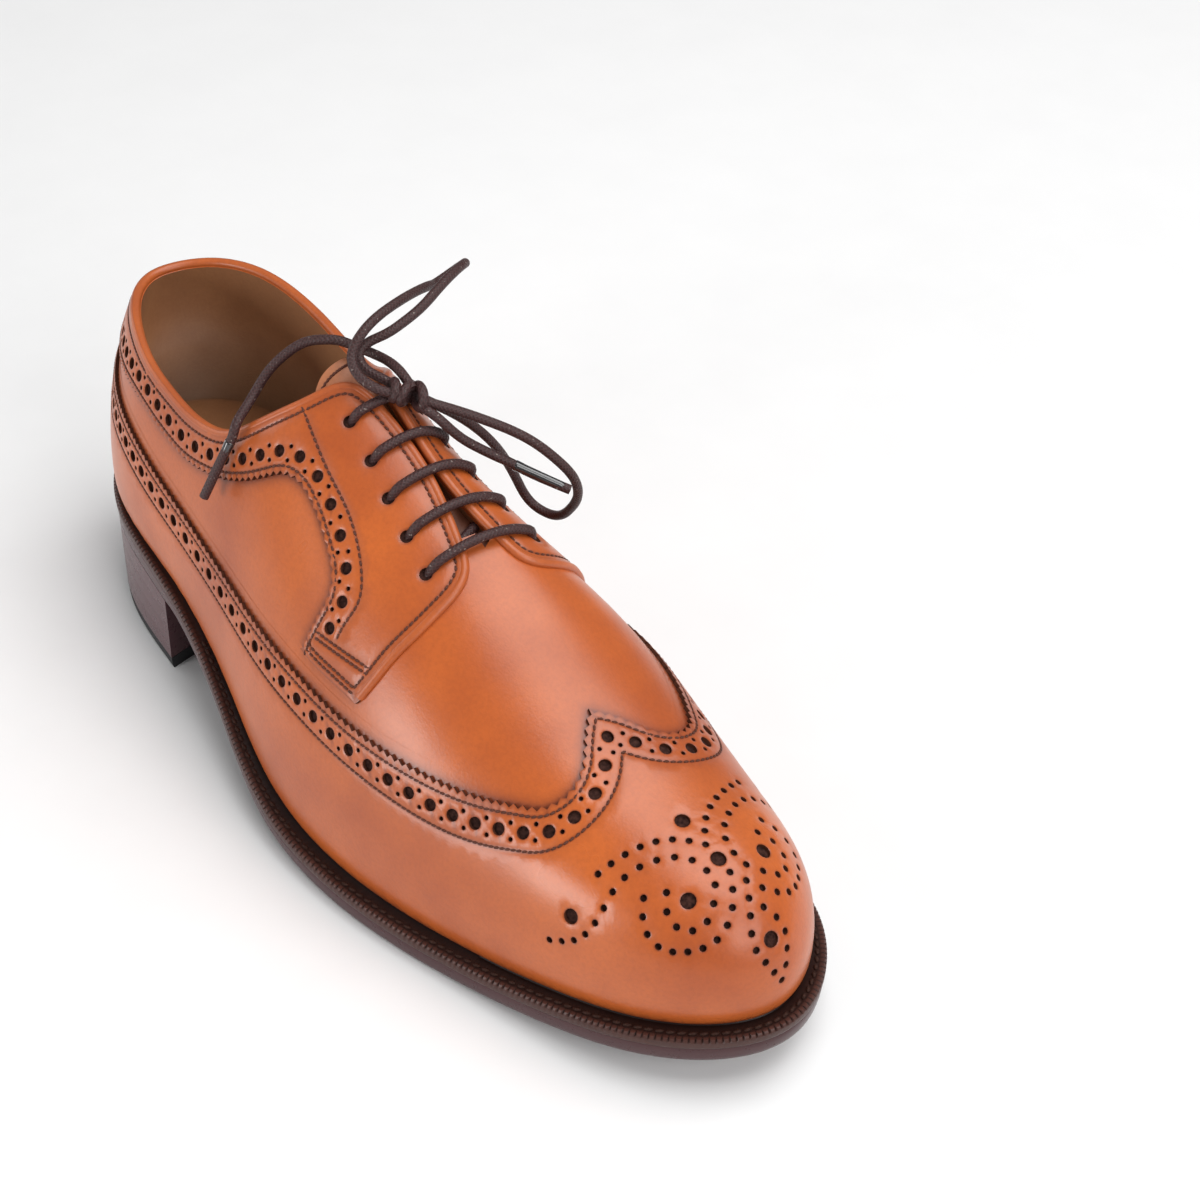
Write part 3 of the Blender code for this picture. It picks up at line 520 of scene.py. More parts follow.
class Pattern:
    """The upper laid flat, as a pattern cutter draws it: each arch is rolled out straight from the ridge."""

    RAYS = 1400
    RISES = 140
    CHUNK = 2000
    PROBE = 0.25

    def __init__(self, last: Last) -> None:
        """Rolls out both sides of the last.

        Args:
            last: The form that the pattern covers.
        """
        self.last = last
        self.rays = {side: self._roll_out(side) for side in Side}
        lateral = self.rays[Side.LATERAL]
        heel = lateral.root[0] + lateral.way[0] * lateral.length[0, -1]
        toe = lateral.root[-1] + lateral.way[-1] * lateral.length[-1, -1]
        line = np.vstack([heel, lateral.root, toe])
        self.middle = (line[:, 0], line[:, 1])

    def _roll_out(self, side: Side) -> Rays:
        """Rolls out one side.

        Args:
            side: The side.

        Returns:
            Its arches.
        """
        start = 0.0 if side is Side.LATERAL else 1.0
        travel = np.linspace(start, self.last.toe, self.RAYS)
        base = self.last.outline(travel)
        top_x = self.last.ridge_x(base[:, 0])
        root = np.column_stack([top_x, self.last.ridge_side(top_x)])
        rises = np.linspace(1.0, 0.0, self.RISES)
        arches = self.last.arch(travel[:, None], np.broadcast_to(rises, (self.RAYS, self.RISES)))
        steps = np.linalg.norm(np.diff(arches, axis=1), axis=2)
        length = np.concatenate([np.zeros((self.RAYS, 1)), np.cumsum(steps, axis=1)], axis=1)
        return Rays(root, unit(base - root), length, travel)

    def flat(self, x: Array, rise: Array, side: Side) -> Array:
        """Lays points of the last flat.

        Args:
            x: Stations.
            rise: Rises.
            side: The side that they are on.

        Returns:
            Flat points.
        """
        rays = self.rays[side]
        travel = self.last.travel_at(x, side)
        start = rays.travel[0]
        ray = (travel - start) / (self.last.toe - start) * (self.RAYS - 1)
        first = np.clip(ray.astype(int), 0, self.RAYS - 2)
        share = (ray - first)[:, None]
        step = (1.0 - np.asarray(rise, float)) * (self.RISES - 1)
        low = np.clip(step.astype(int), 0, self.RISES - 2)
        part = step - low
        ends = []
        for index in (first, first + 1):
            span = rays.length[index, low] * (1.0 - part) + rays.length[index, low + 1] * part
            ends.append(rays.root[index] + rays.way[index] * span[:, None])
        return ends[0] * (1.0 - share) + ends[1] * share

    def chart(self, flat: Array) -> tuple[Array, Array]:
        """Finds where flat points lie on the last.

        Args:
            flat: Flat points.

        Returns:
            Places along the feather line, and rises.
        """
        flat = np.asarray(flat, float)
        travel = np.zeros(len(flat))
        rise = np.zeros(len(flat))
        lateral = flat[:, 1] <= np.interp(flat[:, 0], *self.middle)
        for side in Side:
            members = np.flatnonzero(lateral if side is Side.LATERAL else ~lateral)
            for start in range(0, len(members), self.CHUNK):
                group = members[start : start + self.CHUNK]
                travel[group], rise[group] = self._chart_side(flat[group], side)
        return travel, rise

    def _chart_side(self, flat: Array, side: Side) -> tuple[Array, Array]:
        """Finds where flat points of one side lie on the last, between the two arches next to each.

        Args:
            flat: Flat points.
            side: The side that they lie on.

        Returns:
            Places along the feather line, and rises.
        """
        rays = self.rays[side]
        turn = 1.0 if side is Side.LATERAL else -1.0
        gap_x = flat[:, None, 0] - rays.root[None, :, 0]
        gap_y = flat[:, None, 1] - rays.root[None, :, 1]
        ahead = turn * (rays.way[None, :, 0] * gap_y - rays.way[None, :, 1] * gap_x)
        forth = rays.way[None, :, 0] * gap_x + rays.way[None, :, 1] * gap_y
        apart = np.where(forth > 0.0, np.abs(ahead), np.hypot(gap_x, gap_y))
        nearest = np.argmin(apart, axis=1)
        rows = np.arange(len(flat))
        first = np.where(ahead[rows, nearest] > 0.0, nearest, nearest - 1)
        first = np.clip(first, 0, self.RAYS - 2)
        near = ahead[rows, first]
        far = ahead[rows, first + 1]
        share = np.clip(near / np.where(near == far, 1.0, near - far), 0.0, 1.0)
        root = rays.root[first] * (1.0 - share)[:, None] + rays.root[first + 1] * share[:, None]
        reach = np.linalg.norm(flat - root, axis=1)
        length = rays.length[first] * (1.0 - share)[:, None] + rays.length[first + 1] * share[:, None]
        low = np.clip((length < reach[:, None]).sum(axis=1) - 1, 0, self.RISES - 2)
        part = (reach - length[rows, low]) / (length[rows, low + 1] - length[rows, low])
        rise = np.clip(1.0 - (low + part) / (self.RISES - 1), 0.0, 1.0)
        travel = rays.travel[first] * (1.0 - share) + rays.travel[first + 1] * share
        return travel, rise

    def place(self, flat: Array, offset: Array | float) -> Array:
        """Points in space of flat points, at an offset from the last."""
        travel, rise = self.chart(flat)
        return self.last.surface(travel, rise, offset)

    def disc(self, centre: Array, radius: float, count: int) -> Array:
        """Draws a flat loop that is a circle on the last.

        Args:
            centre: Flat point.
            radius: Radius on the last.
            count: Corners of the loop.

        Returns:
            Flat points.
        """
        centre = np.asarray(centre, float)
        step = self.PROBE
        spots = self.place(centre + np.array([(step, 0), (-step, 0), (0, step), (0, -step)]), 0.0)
        along = (spots[0] - spots[1]) / (2.0 * step)
        across = (spots[2] - spots[3]) / (2.0 * step)
        first = unit(along)
        second = square_to(across, first)
        stretch = np.array([[along @ first, across @ first], [along @ second, across @ second]])
        angle = np.arange(count) * 2.0 * math.pi / count
        circle = radius * np.column_stack([np.cos(angle), np.sin(angle)])
        return centre + np.linalg.solve(stretch, circle.T).T


class Line:
    """A line drawn on the flat pattern, kept as close even points."""

    SPACING = 0.4
    TRIM = 0.04
    WAY_REACH = 0.6

    def __init__(self, points: Array) -> None:
        """Keeps the points, which are flat and in order."""
        self.points = np.asarray(points, float)
        self.travel = running_length(self.points)

    @property
    def length(self) -> float:
        """Length of the whole line."""
        return float(self.travel[-1])

    @classmethod
    def through(cls, points: Array) -> "Line":
        """Draws a smooth line.

        Args:
            points: Flat points that it runs through.

        Returns:
            The line.
        """
        points = np.asarray(points, float)
        travel = running_length(points)
        steps = max(2, int(round(travel[-1] / cls.SPACING)))
        if len(points) == 2:
            return cls(points[0] + (points[1] - points[0]) * np.linspace(0.0, 1.0, steps + 1)[:, None])
        return cls(Spline(travel, points)(np.linspace(0.0, travel[-1], steps + 1)))

    def spot(self, distances: Array) -> Array:
        """Points at distances along the line, held to its ends."""
        where = np.clip(distances, 0.0, self.length)
        return np.column_stack([np.interp(where, self.travel, self.points[:, i]) for i in (0, 1)])

    def at(self, distances: Array) -> tuple[Array, Array]:
        """Points at distances along the line, and the ways that it runs there."""
        way = self.spot(distances + self.WAY_REACH) - self.spot(distances - self.WAY_REACH)
        return self.spot(distances), unit(way)

    def part(self, start: float, finish: float) -> "Line":
        """The stretch between two distances."""
        steps = max(2, int(round((finish - start) / self.SPACING)))
        return Line(self.spot(np.linspace(start, finish, steps + 1)))

    def turned(self) -> "Line":
        """The same line, drawn from its other end."""
        return Line(self.points[::-1])

    def then(self, other: "Line") -> "Line":
        """This line and another that starts where it ends."""
        return Line(np.vstack([self.points, other.points[1:]]))

    def beside(self, distance: float) -> "Line":
        """Draws a parallel line, without the stretches that a tight bend would fold over.

        Args:
            distance: Distance to the right of this line's way, or to the left where it is below 0.

        Returns:
            The parallel line.
        """
        moved = self.points + rightward(unit(np.gradient(self.points, axis=0))) * distance
        kept = Line(moved[distances_to(self.points, moved) >= abs(distance) - self.TRIM])
        return kept.part(0.0, kept.length)

    def pitched(self, pitch: float, ends: bool = False) -> tuple[Array, Array]:
        """Steps along the line evenly.

        Args:
            pitch: Wanted distance between points.
            ends: Whether the first and last points are the line's ends.

        Returns:
            Points and ways.
        """
        count = max(1, int(round(self.length / pitch)))
        steps = np.arange(count + 1) if ends else np.arange(count) + 0.5
        return self.at(steps * self.length / count)

    def gimped(self, pitch: float, depth: float) -> Array:
        """Cuts a zigzag with its tips on the line.

        Args:
            pitch: Wanted distance between tips.
            depth: Depth of the notches, to the right of the line or to the left where it is below 0.

        Returns:
            Flat points.
        """
        count = max(1, int(round(self.length / pitch)))
        points, way = self.at(np.arange(2 * count + 1) * self.length / (2 * count))
        points[1::2] += rightward(way)[1::2] * depth
        return points


def distances_to(hard: Array, points: Array) -> Array:
    """Measures how far flat points are from others.

    Args:
        hard: The other points.
        points: The points.

    Returns:
        Each point's distance from the nearest other one.
    """
    tree = KDTree(len(hard))
    for index, spot in enumerate(hard):
        tree.insert((spot[0], spot[1], 0.0), index)
    tree.balance()
    return np.array([tree.find((spot[0], spot[1], 0.0))[2] for spot in points])


def inside(points: Array, loops: Sequence[Array]) -> Array:
    """Tests which flat points lie inside an odd number of loops.

    Args:
        points: Flat points.
        loops: Closed loops of flat points.

    Returns:
        Whether each point does.
    """
    odd = np.zeros(len(points), bool)
    chunk = 4000
    for loop in loops:
        follow = np.roll(loop, -1, axis=0)
        rise = follow[:, 1] - loop[:, 1]
        slant = (follow[:, 0] - loop[:, 0]) / np.where(rise == 0.0, 1.0, rise)
        for start in range(0, len(points), chunk):
            x = points[start : start + chunk, 0, None]
            y = points[start : start + chunk, 1, None]
            crossed = (loop[None, :, 1] > y) != (follow[None, :, 1] > y)
            before = x < loop[None, :, 0] + (y - loop[None, :, 1]) * slant[None]
            odd[start : start + chunk] ^= (crossed & before).sum(axis=1) % 2 == 1
    return odd


@dataclass(frozen=True)
class Punch:
    """A round punch: radius, corners of its cut, and how deep, broad and dark the leather dips round it."""

    radius: float
    corners: int
    dip: float
    lip: float = 0.45
    burnish_and_shade: float = 0.7


class Drawing:
    """Flat points of a panel with their dip, darkening by burnish and painted shade, and hole number, and
    the cut edges between them.
    """

    NO_HOLE = -1

    def __init__(self) -> None:
        """Starts empty."""
        self.rows: list[Array] = []
        self.edges: list[tuple[int, int]] = []
        self.count = 0

    @property
    def table(self) -> Array:
        """All points so far: place along, place across, dip, burnish and painted shade, and hole number of
        each.
        """
        return np.vstack(self.rows)

    def add(
        self, points: Array, dip: float = 0.0, mark: float = 0.0, hole: int = NO_HOLE, cut: bool = False
    ) -> None:
        """Adds points.

        Args:
            points: Flat points.
            dip: How deep they are sunk.
            mark: How dark they are.
            hole: Number of the hole that they go round.
            cut: Whether they are a closed cut.
        """
        count = len(points)
        values = np.broadcast_to((dip, mark, hole), (count, 3))
        self.rows.append(np.column_stack([points, values]))
        if cut:
            self.edges += [(self.count + i, self.count + (i + 1) % count) for i in range(count)]
        self.count += count


class Panel:
    """A cut piece of leather on the last, with punched holes and sunk stitch rows."""

    GRID = 2.6
    GRID_CLEAR = 1.15
    ROW_STEP = 1.3
    GROOVE_HALF = 0.75
    GROOVE_DEPTH = 0.32
    # Painted shade in the middle of each sunk stitch groove and, lighter, beside it
    GROOVE_MARK = 0.75
    GROOVE_SIDE_MARK = 0.16
    LIP_MARK = 0.04
    LIP_CLEAR = 0.22
    EDGE_DIP = 0.22
    EDGE_MARK = 0.6
    EDGE_CLEAR = 0.55
    BASE = 0.04
    FOOT_RISE = 0.07
    JOIN = 1e-6

    def __init__(self, pattern: Pattern, thickness: float, foot_thickness: float | None = None) -> None:
        """Starts with no outline.

        Args:
            pattern: The flat pattern that the piece is drawn on.
            thickness: Distance of the piece's face from the last.
            foot_thickness: The same where the piece is lasted under, if it is.
        """
        self.pattern = pattern
        self.thickness = thickness
        self.foot_thickness = foot_thickness
        self.loops: list[Array] = []
        self.holes: list[tuple[Array, Punch]] = []
        self.rows: list[Line] = []

    def punch(self, centres: Array, tool: Punch) -> None:
        """Punches holes at flat points."""
        self.holes += [(np.asarray(centre, float), tool) for centre in centres]

    def _draw(self) -> Drawing:
        """Draws the cuts, the lips of the holes, the grooves of the rows, and an even grid between them.

        Returns:
            The drawing.
        """
        drawing = Drawing()
        for loop in self.loops:
            drawing.add(loop, self.EDGE_DIP, self.EDGE_MARK, cut=True)
        for number, (centre, tool) in enumerate(self.holes):
            loop = self.pattern.disc(centre, tool.radius, tool.corners)
            drawing.add(loop, tool.dip, tool.burnish_and_shade, number, cut=True)
        for centre, tool in self.holes:
            lip = self.pattern.disc(centre, tool.radius + tool.lip, tool.corners)
            drawing.add(self._clear(lip, drawing, self.LIP_CLEAR), mark=self.LIP_MARK)
        groove = (
            (0.0, self.GROOVE_DEPTH, self.GROOVE_MARK),
            (self.GROOVE_HALF, 0.0, self.GROOVE_SIDE_MARK),
            (-self.GROOVE_HALF, 0.0, self.GROOVE_SIDE_MARK),
        )
        for line in self.rows:
            points, ways = line.pitched(self.ROW_STEP)
            for shift, dip, mark in groove:
                moved = points + rightward(ways) * shift
                drawing.add(self._clear(moved, drawing, self.EDGE_CLEAR), dip, mark)
        drawing.add(self._clear(self._grid(), drawing, self.GRID_CLEAR))
        return drawing

    def _grid(self) -> Array:
        """Fills the outline's box with an even grid of triangles.

        Returns:
            Flat points.
        """
        low = np.vstack(self.loops).min(axis=0)
        high = np.vstack(self.loops).max(axis=0)
        step = self.GRID * math.sqrt(3.0) / 2.0
        grid = []
        for number, y in enumerate(np.arange(low[1], high[1], step)):
            x = np.arange(low[0] + (number % 2) * self.GRID / 2.0, high[0], self.GRID)
            grid.append(np.column_stack([x, np.full(len(x), y)]))
        return np.vstack(grid)

    def _clear(self, points: Array, drawing: Drawing, gap: float) -> Array:
        """Leaves out points that would crowd a drawing.

        Args:
            points: Flat points.
            drawing: What is drawn so far.
            gap: Least distance from it.

        Returns:
            The points inside the outline, outside the holes and clear of the drawing.
        """
        points = points[inside(points, self.loops)]
        keep = distances_to(drawing.table, points) > gap
        for centre, tool in self.holes:
            keep &= np.linalg.norm(points - centre, axis=1) >= tool.radius + gap / 2.0
        return points[keep]

    def shape(self) -> Shape:
        """Cuts the piece and lays it on the last.

        Returns:
            A closed shape: its face in the first material, its cut edges and back in the second.
        """
        drawing = self._draw()
        table = drawing.table
        cut = delaunay_2d_cdt([Vector(spot) for spot in table[:, :2]], drawing.edges, [], 0, self.JOIN, True)
        spots = np.array([tuple(vert) for vert in cut[0]])
        faces = np.array([list(face) for face in cut[2]])
        # A point where two cuts cross comes from no drawn point and takes the row added last
        table = np.vstack([table, (0.0, 0.0, self.EDGE_DIP, self.EDGE_MARK, drawing.NO_HOLE)])
        source = [items[0] if items else -1 for items in cut[3]]
        dips, marks, owner = table[source, 2:].T
        hole = owner[faces]
        in_hole = (hole[:, 0] >= 0) & (hole[:, 0] == hole[:, 1]) & (hole[:, 1] == hole[:, 2])
        faces = faces[inside(spots[faces].mean(axis=1), self.loops) & ~in_hole]
        used = np.unique(faces)
        dips = dips[used]
        if self.foot_thickness is not None:
            rise = self.pattern.chart(spots[used])[1]
            share = np.clip(1.0 - rise / self.FOOT_RISE, 0.0, 1.0) ** 2
            dips = dips * (1.0 - share) + (self.thickness - self.foot_thickness) * share
        tops = placed(self.pattern.place(spots[used], self.thickness - dips))
        backs = placed(self.pattern.place(spots[used], self.BASE))
        return self._solid(np.searchsorted(used, faces), tops, backs, marks[used])

    def _solid(
        self, faces: Array, tops: Array, backs: Array, marks: Array
    ) -> Shape:
        """Closes the space between a face layer and the same layer moved to the back.

        Args:
            faces: Point numbers of each triangle.
            tops: Points of the face layer.
            backs: Points of the back.
            marks: How dark each point is.

        Returns:
            The closed shape.
        """
        shape = bmesh.new()
        number = shape.verts.layers.int.new("number")
        burnish_and_shade = shape.verts.layers.float.new(BURNISH_AND_SHADE)
        verts = []
        for index, point in enumerate(tops):
            vert = shape.verts.new(point)
            vert[number] = index
            vert[burnish_and_shade] = marks[index]
            verts.append(vert)
        for face in faces:
            shape.faces.new([verts[index] for index in face])
        front = shape.faces[:]
        grown = bmesh.ops.extrude_face_region(shape, geom=front, use_keep_orig=True)
        for item in grown["geom"]:
            if isinstance(item, bmesh.types.BMVert):
                item.co = backs[item[number]]
        bmesh.ops.recalc_face_normals(shape, faces=shape.faces)
        for face in shape.faces:
            face.material_index = 1
        for face in front:
            face.material_index = 0
        return shape


def open_edges(shape: Shape) -> list[bmesh.types.BMEdge]:
    """Edges with a face on one side only."""
    return [edge for edge in shape.edges if edge.is_boundary]


def add_sheet(
    shape: Shape, points: Array, marks: Array | None = None, stretch: float = 1.0
) -> Sequence[bmesh.types.BMFace]:
    """Adds a grid of quads, with a UV map of the shares along and across it.

    Args:
        shape: The shape that gets the grid.
        points: Points in millimetres by step along and by step across.
        marks: How dark each point is, if that changes.
        stretch: How often the UV map repeats along the grid.

    Returns:
        The new faces.
    """
    old_faces = len(shape.faces)
    uv_layer = shape.loops.layers.uv.verify()
    if marks is not None:
        burnish_and_shade = shape.verts.layers.float.get(BURNISH_AND_SHADE) or shape.verts.layers.float.new(BURNISH_AND_SHADE)
    steps = (points.shape[0] - 1, points.shape[1] - 1)
    made = bmesh.ops.create_grid(shape, x_segments=steps[0], y_segments=steps[1], size=0.5, calc_uvs=True)
    spots = placed(points)
    for vert in made["verts"]:
        along = round((vert.co.x + 0.5) * steps[0])
        across = round((vert.co.y + 0.5) * steps[1])
        for loop in vert.link_loops:
            loop[uv_layer].uv = (stretch * along / steps[0], across / steps[1])
        vert.co = spots[along, across]
        if marks is not None:
            vert[burnish_and_shade] = marks[along, across]
    shape.faces.ensure_lookup_table()
    return shape.faces[old_faces:]


def smooth_points(points: Sequence, spacing: float) -> Array:
    """Draws a smooth curve through a route's own points.

    Args:
        points: The route.
        spacing: Wanted distance between points of the curve.

    Returns:
        Even points of the curve.
    """
    fine_steps = 40
    route = np.asarray(points, float)
    travel = running_length(route)
    fine = Spline(travel, route)(np.linspace(0.0, travel[-1], fine_steps * len(route)))
    length = running_length(fine)
    steps = max(2, int(round(length[-1] / spacing)))
    even = np.linspace(0.0, length[-1], steps + 1)
    return np.column_stack([np.interp(even, length, fine[:, i]) for i in range(fine.shape[1])])


def carried_frames(points: Array, closed: bool) -> tuple[Array, Array]:
    """Carries two directions across a route along it without twist.

    Args:
        points: The route.
        closed: Whether its last point joins the first.

    Returns:
        The two directions at each point.
    """
    steep = 0.2
    way = np.roll(points, -1, axis=0) - np.roll(points, 1, axis=0) if closed else np.gradient(points, axis=0)
    way = unit(way)
    start = np.cross(way[0], (0.0, 0.0, 1.0))
    if np.linalg.norm(start) < steep:
        start = np.cross(way[0], (0.0, 1.0, 0.0))
    first = np.zeros_like(points)
    first[0] = unit(start)
    for i in range(1, len(points)):
        first[i] = square_to(first[i - 1], way[i])
    return first, np.cross(way, first)


def tube(
    points: Array,
    radius: float | Array,
    sides: int = 12,
    closed: bool = False,
    shape: Shape | None = None,
) -> Shape:
    """Makes a round tube along points, with a UV map of length in diameters and turn.

    Args:
        points: Route in millimetres.
        radius: One radius, or one for each point.
        sides: Faces round the tube.
        closed: Whether the route's last point joins the first.
        shape: A shape that gets the tube, if there is one.

    Returns:
        The shape with the closed tube.
    """
    if shape is None:
        shape = bmesh.new()
    first, second = carried_frames(points, closed)
    if closed:
        points, first, second = (np.vstack([item, item[:1]]) for item in (points, first, second))
    radii = np.broadcast_to(np.asarray(radius, float), (len(points),))
    turn = np.linspace(0.0, 2.0 * math.pi, sides + 1)[:, None]
    across = first[:, None] * np.cos(turn) + second[:, None] * np.sin(turn)
    stretch = running_length(points)[-1] / (2.0 * radii.max())
    add_sheet(shape, points[:, None] + across * radii[:, None, None], stretch=stretch)
    bmesh.ops.remove_doubles(shape, verts=shape.verts, dist=WELD)
    bmesh.ops.holes_fill(shape, edges=open_edges(shape), sides=0)
    bmesh.ops.recalc_face_normals(shape, faces=shape.faces)
    return shape


class Recipe:
    """Node graph of one material, with short calls for its nodes and links."""

    MIX_SHARE = 0
    MIX_COLOURS = (6, 7)
    MIX_RESULT = 2
    RELIEF = 0.0003

    def __init__(self, name: str) -> None:
        """Starts from a plain shader.

        Args:
            name: Name of the material.
        """
        self.material = bpy.data.materials.new(name)
        self.material.use_nodes = True
        self.tree = self.material.node_tree
        self.shader = self.tree.nodes["Principled BSDF"]

    def put(self, socket: Socket, value: Feed) -> None:
        """Feeds an input.

        Args:
            socket: The input.
            value: An output to link to it, or its own value; a colour is opaque.
        """
        if isinstance(value, Socket):
            self.tree.links.new(value, socket)
        elif socket.type == "RGBA":
            socket.default_value = value + (1.0,)
        else:
            socket.default_value = value

    def feed(self, name: str, value: Feed) -> None:
        """Feeds a named input of the shader."""
        self.put(self.shader.inputs[name], value)

    def shine(self, level: float, coat: float, coat_roughness: float = 0.2) -> None:
        """Sets how much the surface mirrors.

        Args:
            level: Share of the surface itself.
            coat: Share of a clear coat.
            coat_roughness: Roughness of the coat.
        """
        self.feed("Specular IOR Level", level)
        self.feed("Coat Weight", coat)
        self.feed("Coat Roughness", coat_roughness)

    def node(self, kind: str, **feeds: Feed) -> bpy.types.Node:
        """Adds a node.

        Args:
            kind: The node's type.
            feeds: What its inputs get, their names written with underscores.

        Returns:
            The node.
        """
        made = self.tree.nodes.new(kind)
        for key, value in feeds.items():
            self.put(made.inputs[key.replace("_", " ")], value)
        return made

    def coordinates(self, kind: str) -> Socket:
        """Coordinates of a kind, such as those of the object."""
        return self.node("ShaderNodeTexCoord").outputs[kind]

    def place(self, scale: tuple = (1.0, 1.0, 1.0)) -> Socket:
        """The object's coordinates, scaled."""
        mapping = self.node("ShaderNodeMapping", Vector=self.coordinates("Object"), Scale=scale)
        return mapping.outputs["Vector"]

    def burnish_and_shade(self) -> Socket:
        """Reads how dark the mesh's points are.

        Returns:
            The value.
        """
        made = self.node("ShaderNodeAttribute")
        made.attribute_name = BURNISH_AND_SHADE
        return made.outputs["Fac"]

    def noise(
        self, vector: Socket, scale: float, detail: float = 2.0, rough: float = 0.5
    ) -> Socket:
        """Noise at coordinates, with its scale, detail and roughness."""
        made = self.node("ShaderNodeTexNoise", Vector=vector, Scale=scale, Detail=detail, Roughness=rough)
        return made.outputs["Fac"]

    def span(
        self, value: Feed, low: float = 0.0, high: float = 1.0, start: float = 0.3, finish: float = 0.7
    ) -> Socket:
        """A value mapped from the span between start and finish to that between low and high."""
        ends = {"From_Min": start, "From_Max": finish, "To_Min": low, "To_Max": high}
        return self.node("ShaderNodeMapRange", Value=value, **ends).outputs["Result"]

    def mix(self, share: Feed, first: Feed, second: Feed) -> Socket:
        """Mixes two colours.

        Args:
            share: Share of the second colour.
            first: First colour.
            second: Second colour.

        Returns:
            The mixed colour.
        """
        made = self.node("ShaderNodeMix")
        made.data_type = "RGBA"
        self.put(made.inputs[self.MIX_SHARE], share)
        for index, colour in zip(self.MIX_COLOURS, (first, second)):
            self.put(made.inputs[index], colour)
        return made.outputs[self.MIX_RESULT]

    def math(self, kind: str, first: Feed, second: Feed = 0.0) -> Socket:
        """Reckons with two values.

        Args:
            kind: What is done with them.
            first: First value.
            second: Second value, where there is one.

        Returns:
            The result.
        """
        made = self.node("ShaderNodeMath")
        made.operation = kind
        for socket, value in zip(made.inputs, (first, second)):
            self.put(socket, value)
        return made.outputs[0]

    def bump(self, height: Socket, strength: float) -> None:
        """Bends the shader's normal by a height."""
        made = self.node("ShaderNodeBump", Height=height, Strength=strength, Distance=self.RELIEF)
        self.feed("Normal", made.outputs["Normal"])


@dataclass(frozen=True)
class Leather:
    """Polished leather with broad shade, fine grain, pores, burnished edges, and painted shade in grooves,
    notches and the throat.
    """

    name: str
    colour: tuple
    shade: tuple
    deep: tuple
    gloss: tuple = (0.27, 0.37)
    coat: float = 0.05
    shine: float = 0.5
    burnish_and_shade: float = 0.85
    grain: float = 0.10
    speck: float = 0.16
    pore: float = 0.5
    cloud_scale: float = 26.0
    grain_scale: float = 900.0
    pore_scale: float = 1500.0

    def material(self) -> bpy.types.Material:
        """Builds the node graph.

        Returns:
            The material.
        """
        recipe = Recipe(self.name)
        where = recipe.place()
        broad = recipe.noise(where, self.cloud_scale, 3.0, 0.55)
        fine = recipe.noise(where, self.grain_scale, 3.0, 0.6)
        tone = recipe.mix(recipe.span(broad, start=0.35, finish=0.68), self.colour, self.shade)
        specks = recipe.span(fine, high=self.speck, start=0.4, finish=0.75)
        # The mark darkens the colour towards deep: burnish, and painted shade where the mesh marks shade
        burnished_and_shaded = recipe.math("MULTIPLY", recipe.burnish_and_shade(), self.burnish_and_shade)
        recipe.feed("Base Color", recipe.mix(burnished_and_shaded, recipe.mix(specks, tone, self.deep), self.deep))
        recipe.feed("Roughness", recipe.span(broad, *self.gloss))
        pores = recipe.node("ShaderNodeTexVoronoi", Vector=where, Scale=self.pore_scale).outputs["Distance"]
        recipe.bump(recipe.math("ADD", fine, recipe.math("MULTIPLY", pores, self.pore)), self.grain)
        recipe.shine(self.shine, self.coat)
        return recipe.material


@dataclass(frozen=True)
class Edge:
    """Dressed sole and heel edge: dark leather with streaks along its layers, and painted shade in notches
    and joins where the mesh marks it.
    """

    name: str
    colour: tuple
    streak: tuple
    deep: tuple
    gloss: tuple
    shine: float = 0.3
    relief: float = 0.012
    streak_scale: tuple = (40.0, 40.0, 900.0)
    scuff_scale: float = 300.0

    def material(self) -> bpy.types.Material:
        """Builds the node graph.

        Returns:
            The material.
        """
        recipe = Recipe(self.name)
        streaks = recipe.noise(recipe.place(self.streak_scale), 1.0, 3.0, 0.6)
        scuffs = recipe.noise(recipe.place(), self.scuff_scale, 4.0, 0.6)
        blend = recipe.math("MULTIPLY", recipe.span(streaks), recipe.span(scuffs, low=0.4))
        tone = recipe.mix(blend, self.colour, self.streak)
        # Painted shade from the mesh's marks darkens the colour towards deep
        recipe.feed("Base Color", recipe.mix(recipe.burnish_and_shade(), tone, self.deep))
        recipe.feed("Roughness", recipe.span(scuffs, *self.gloss))
        recipe.bump(scuffs, self.relief)
        recipe.shine(self.shine, 0.0)
        return recipe.material


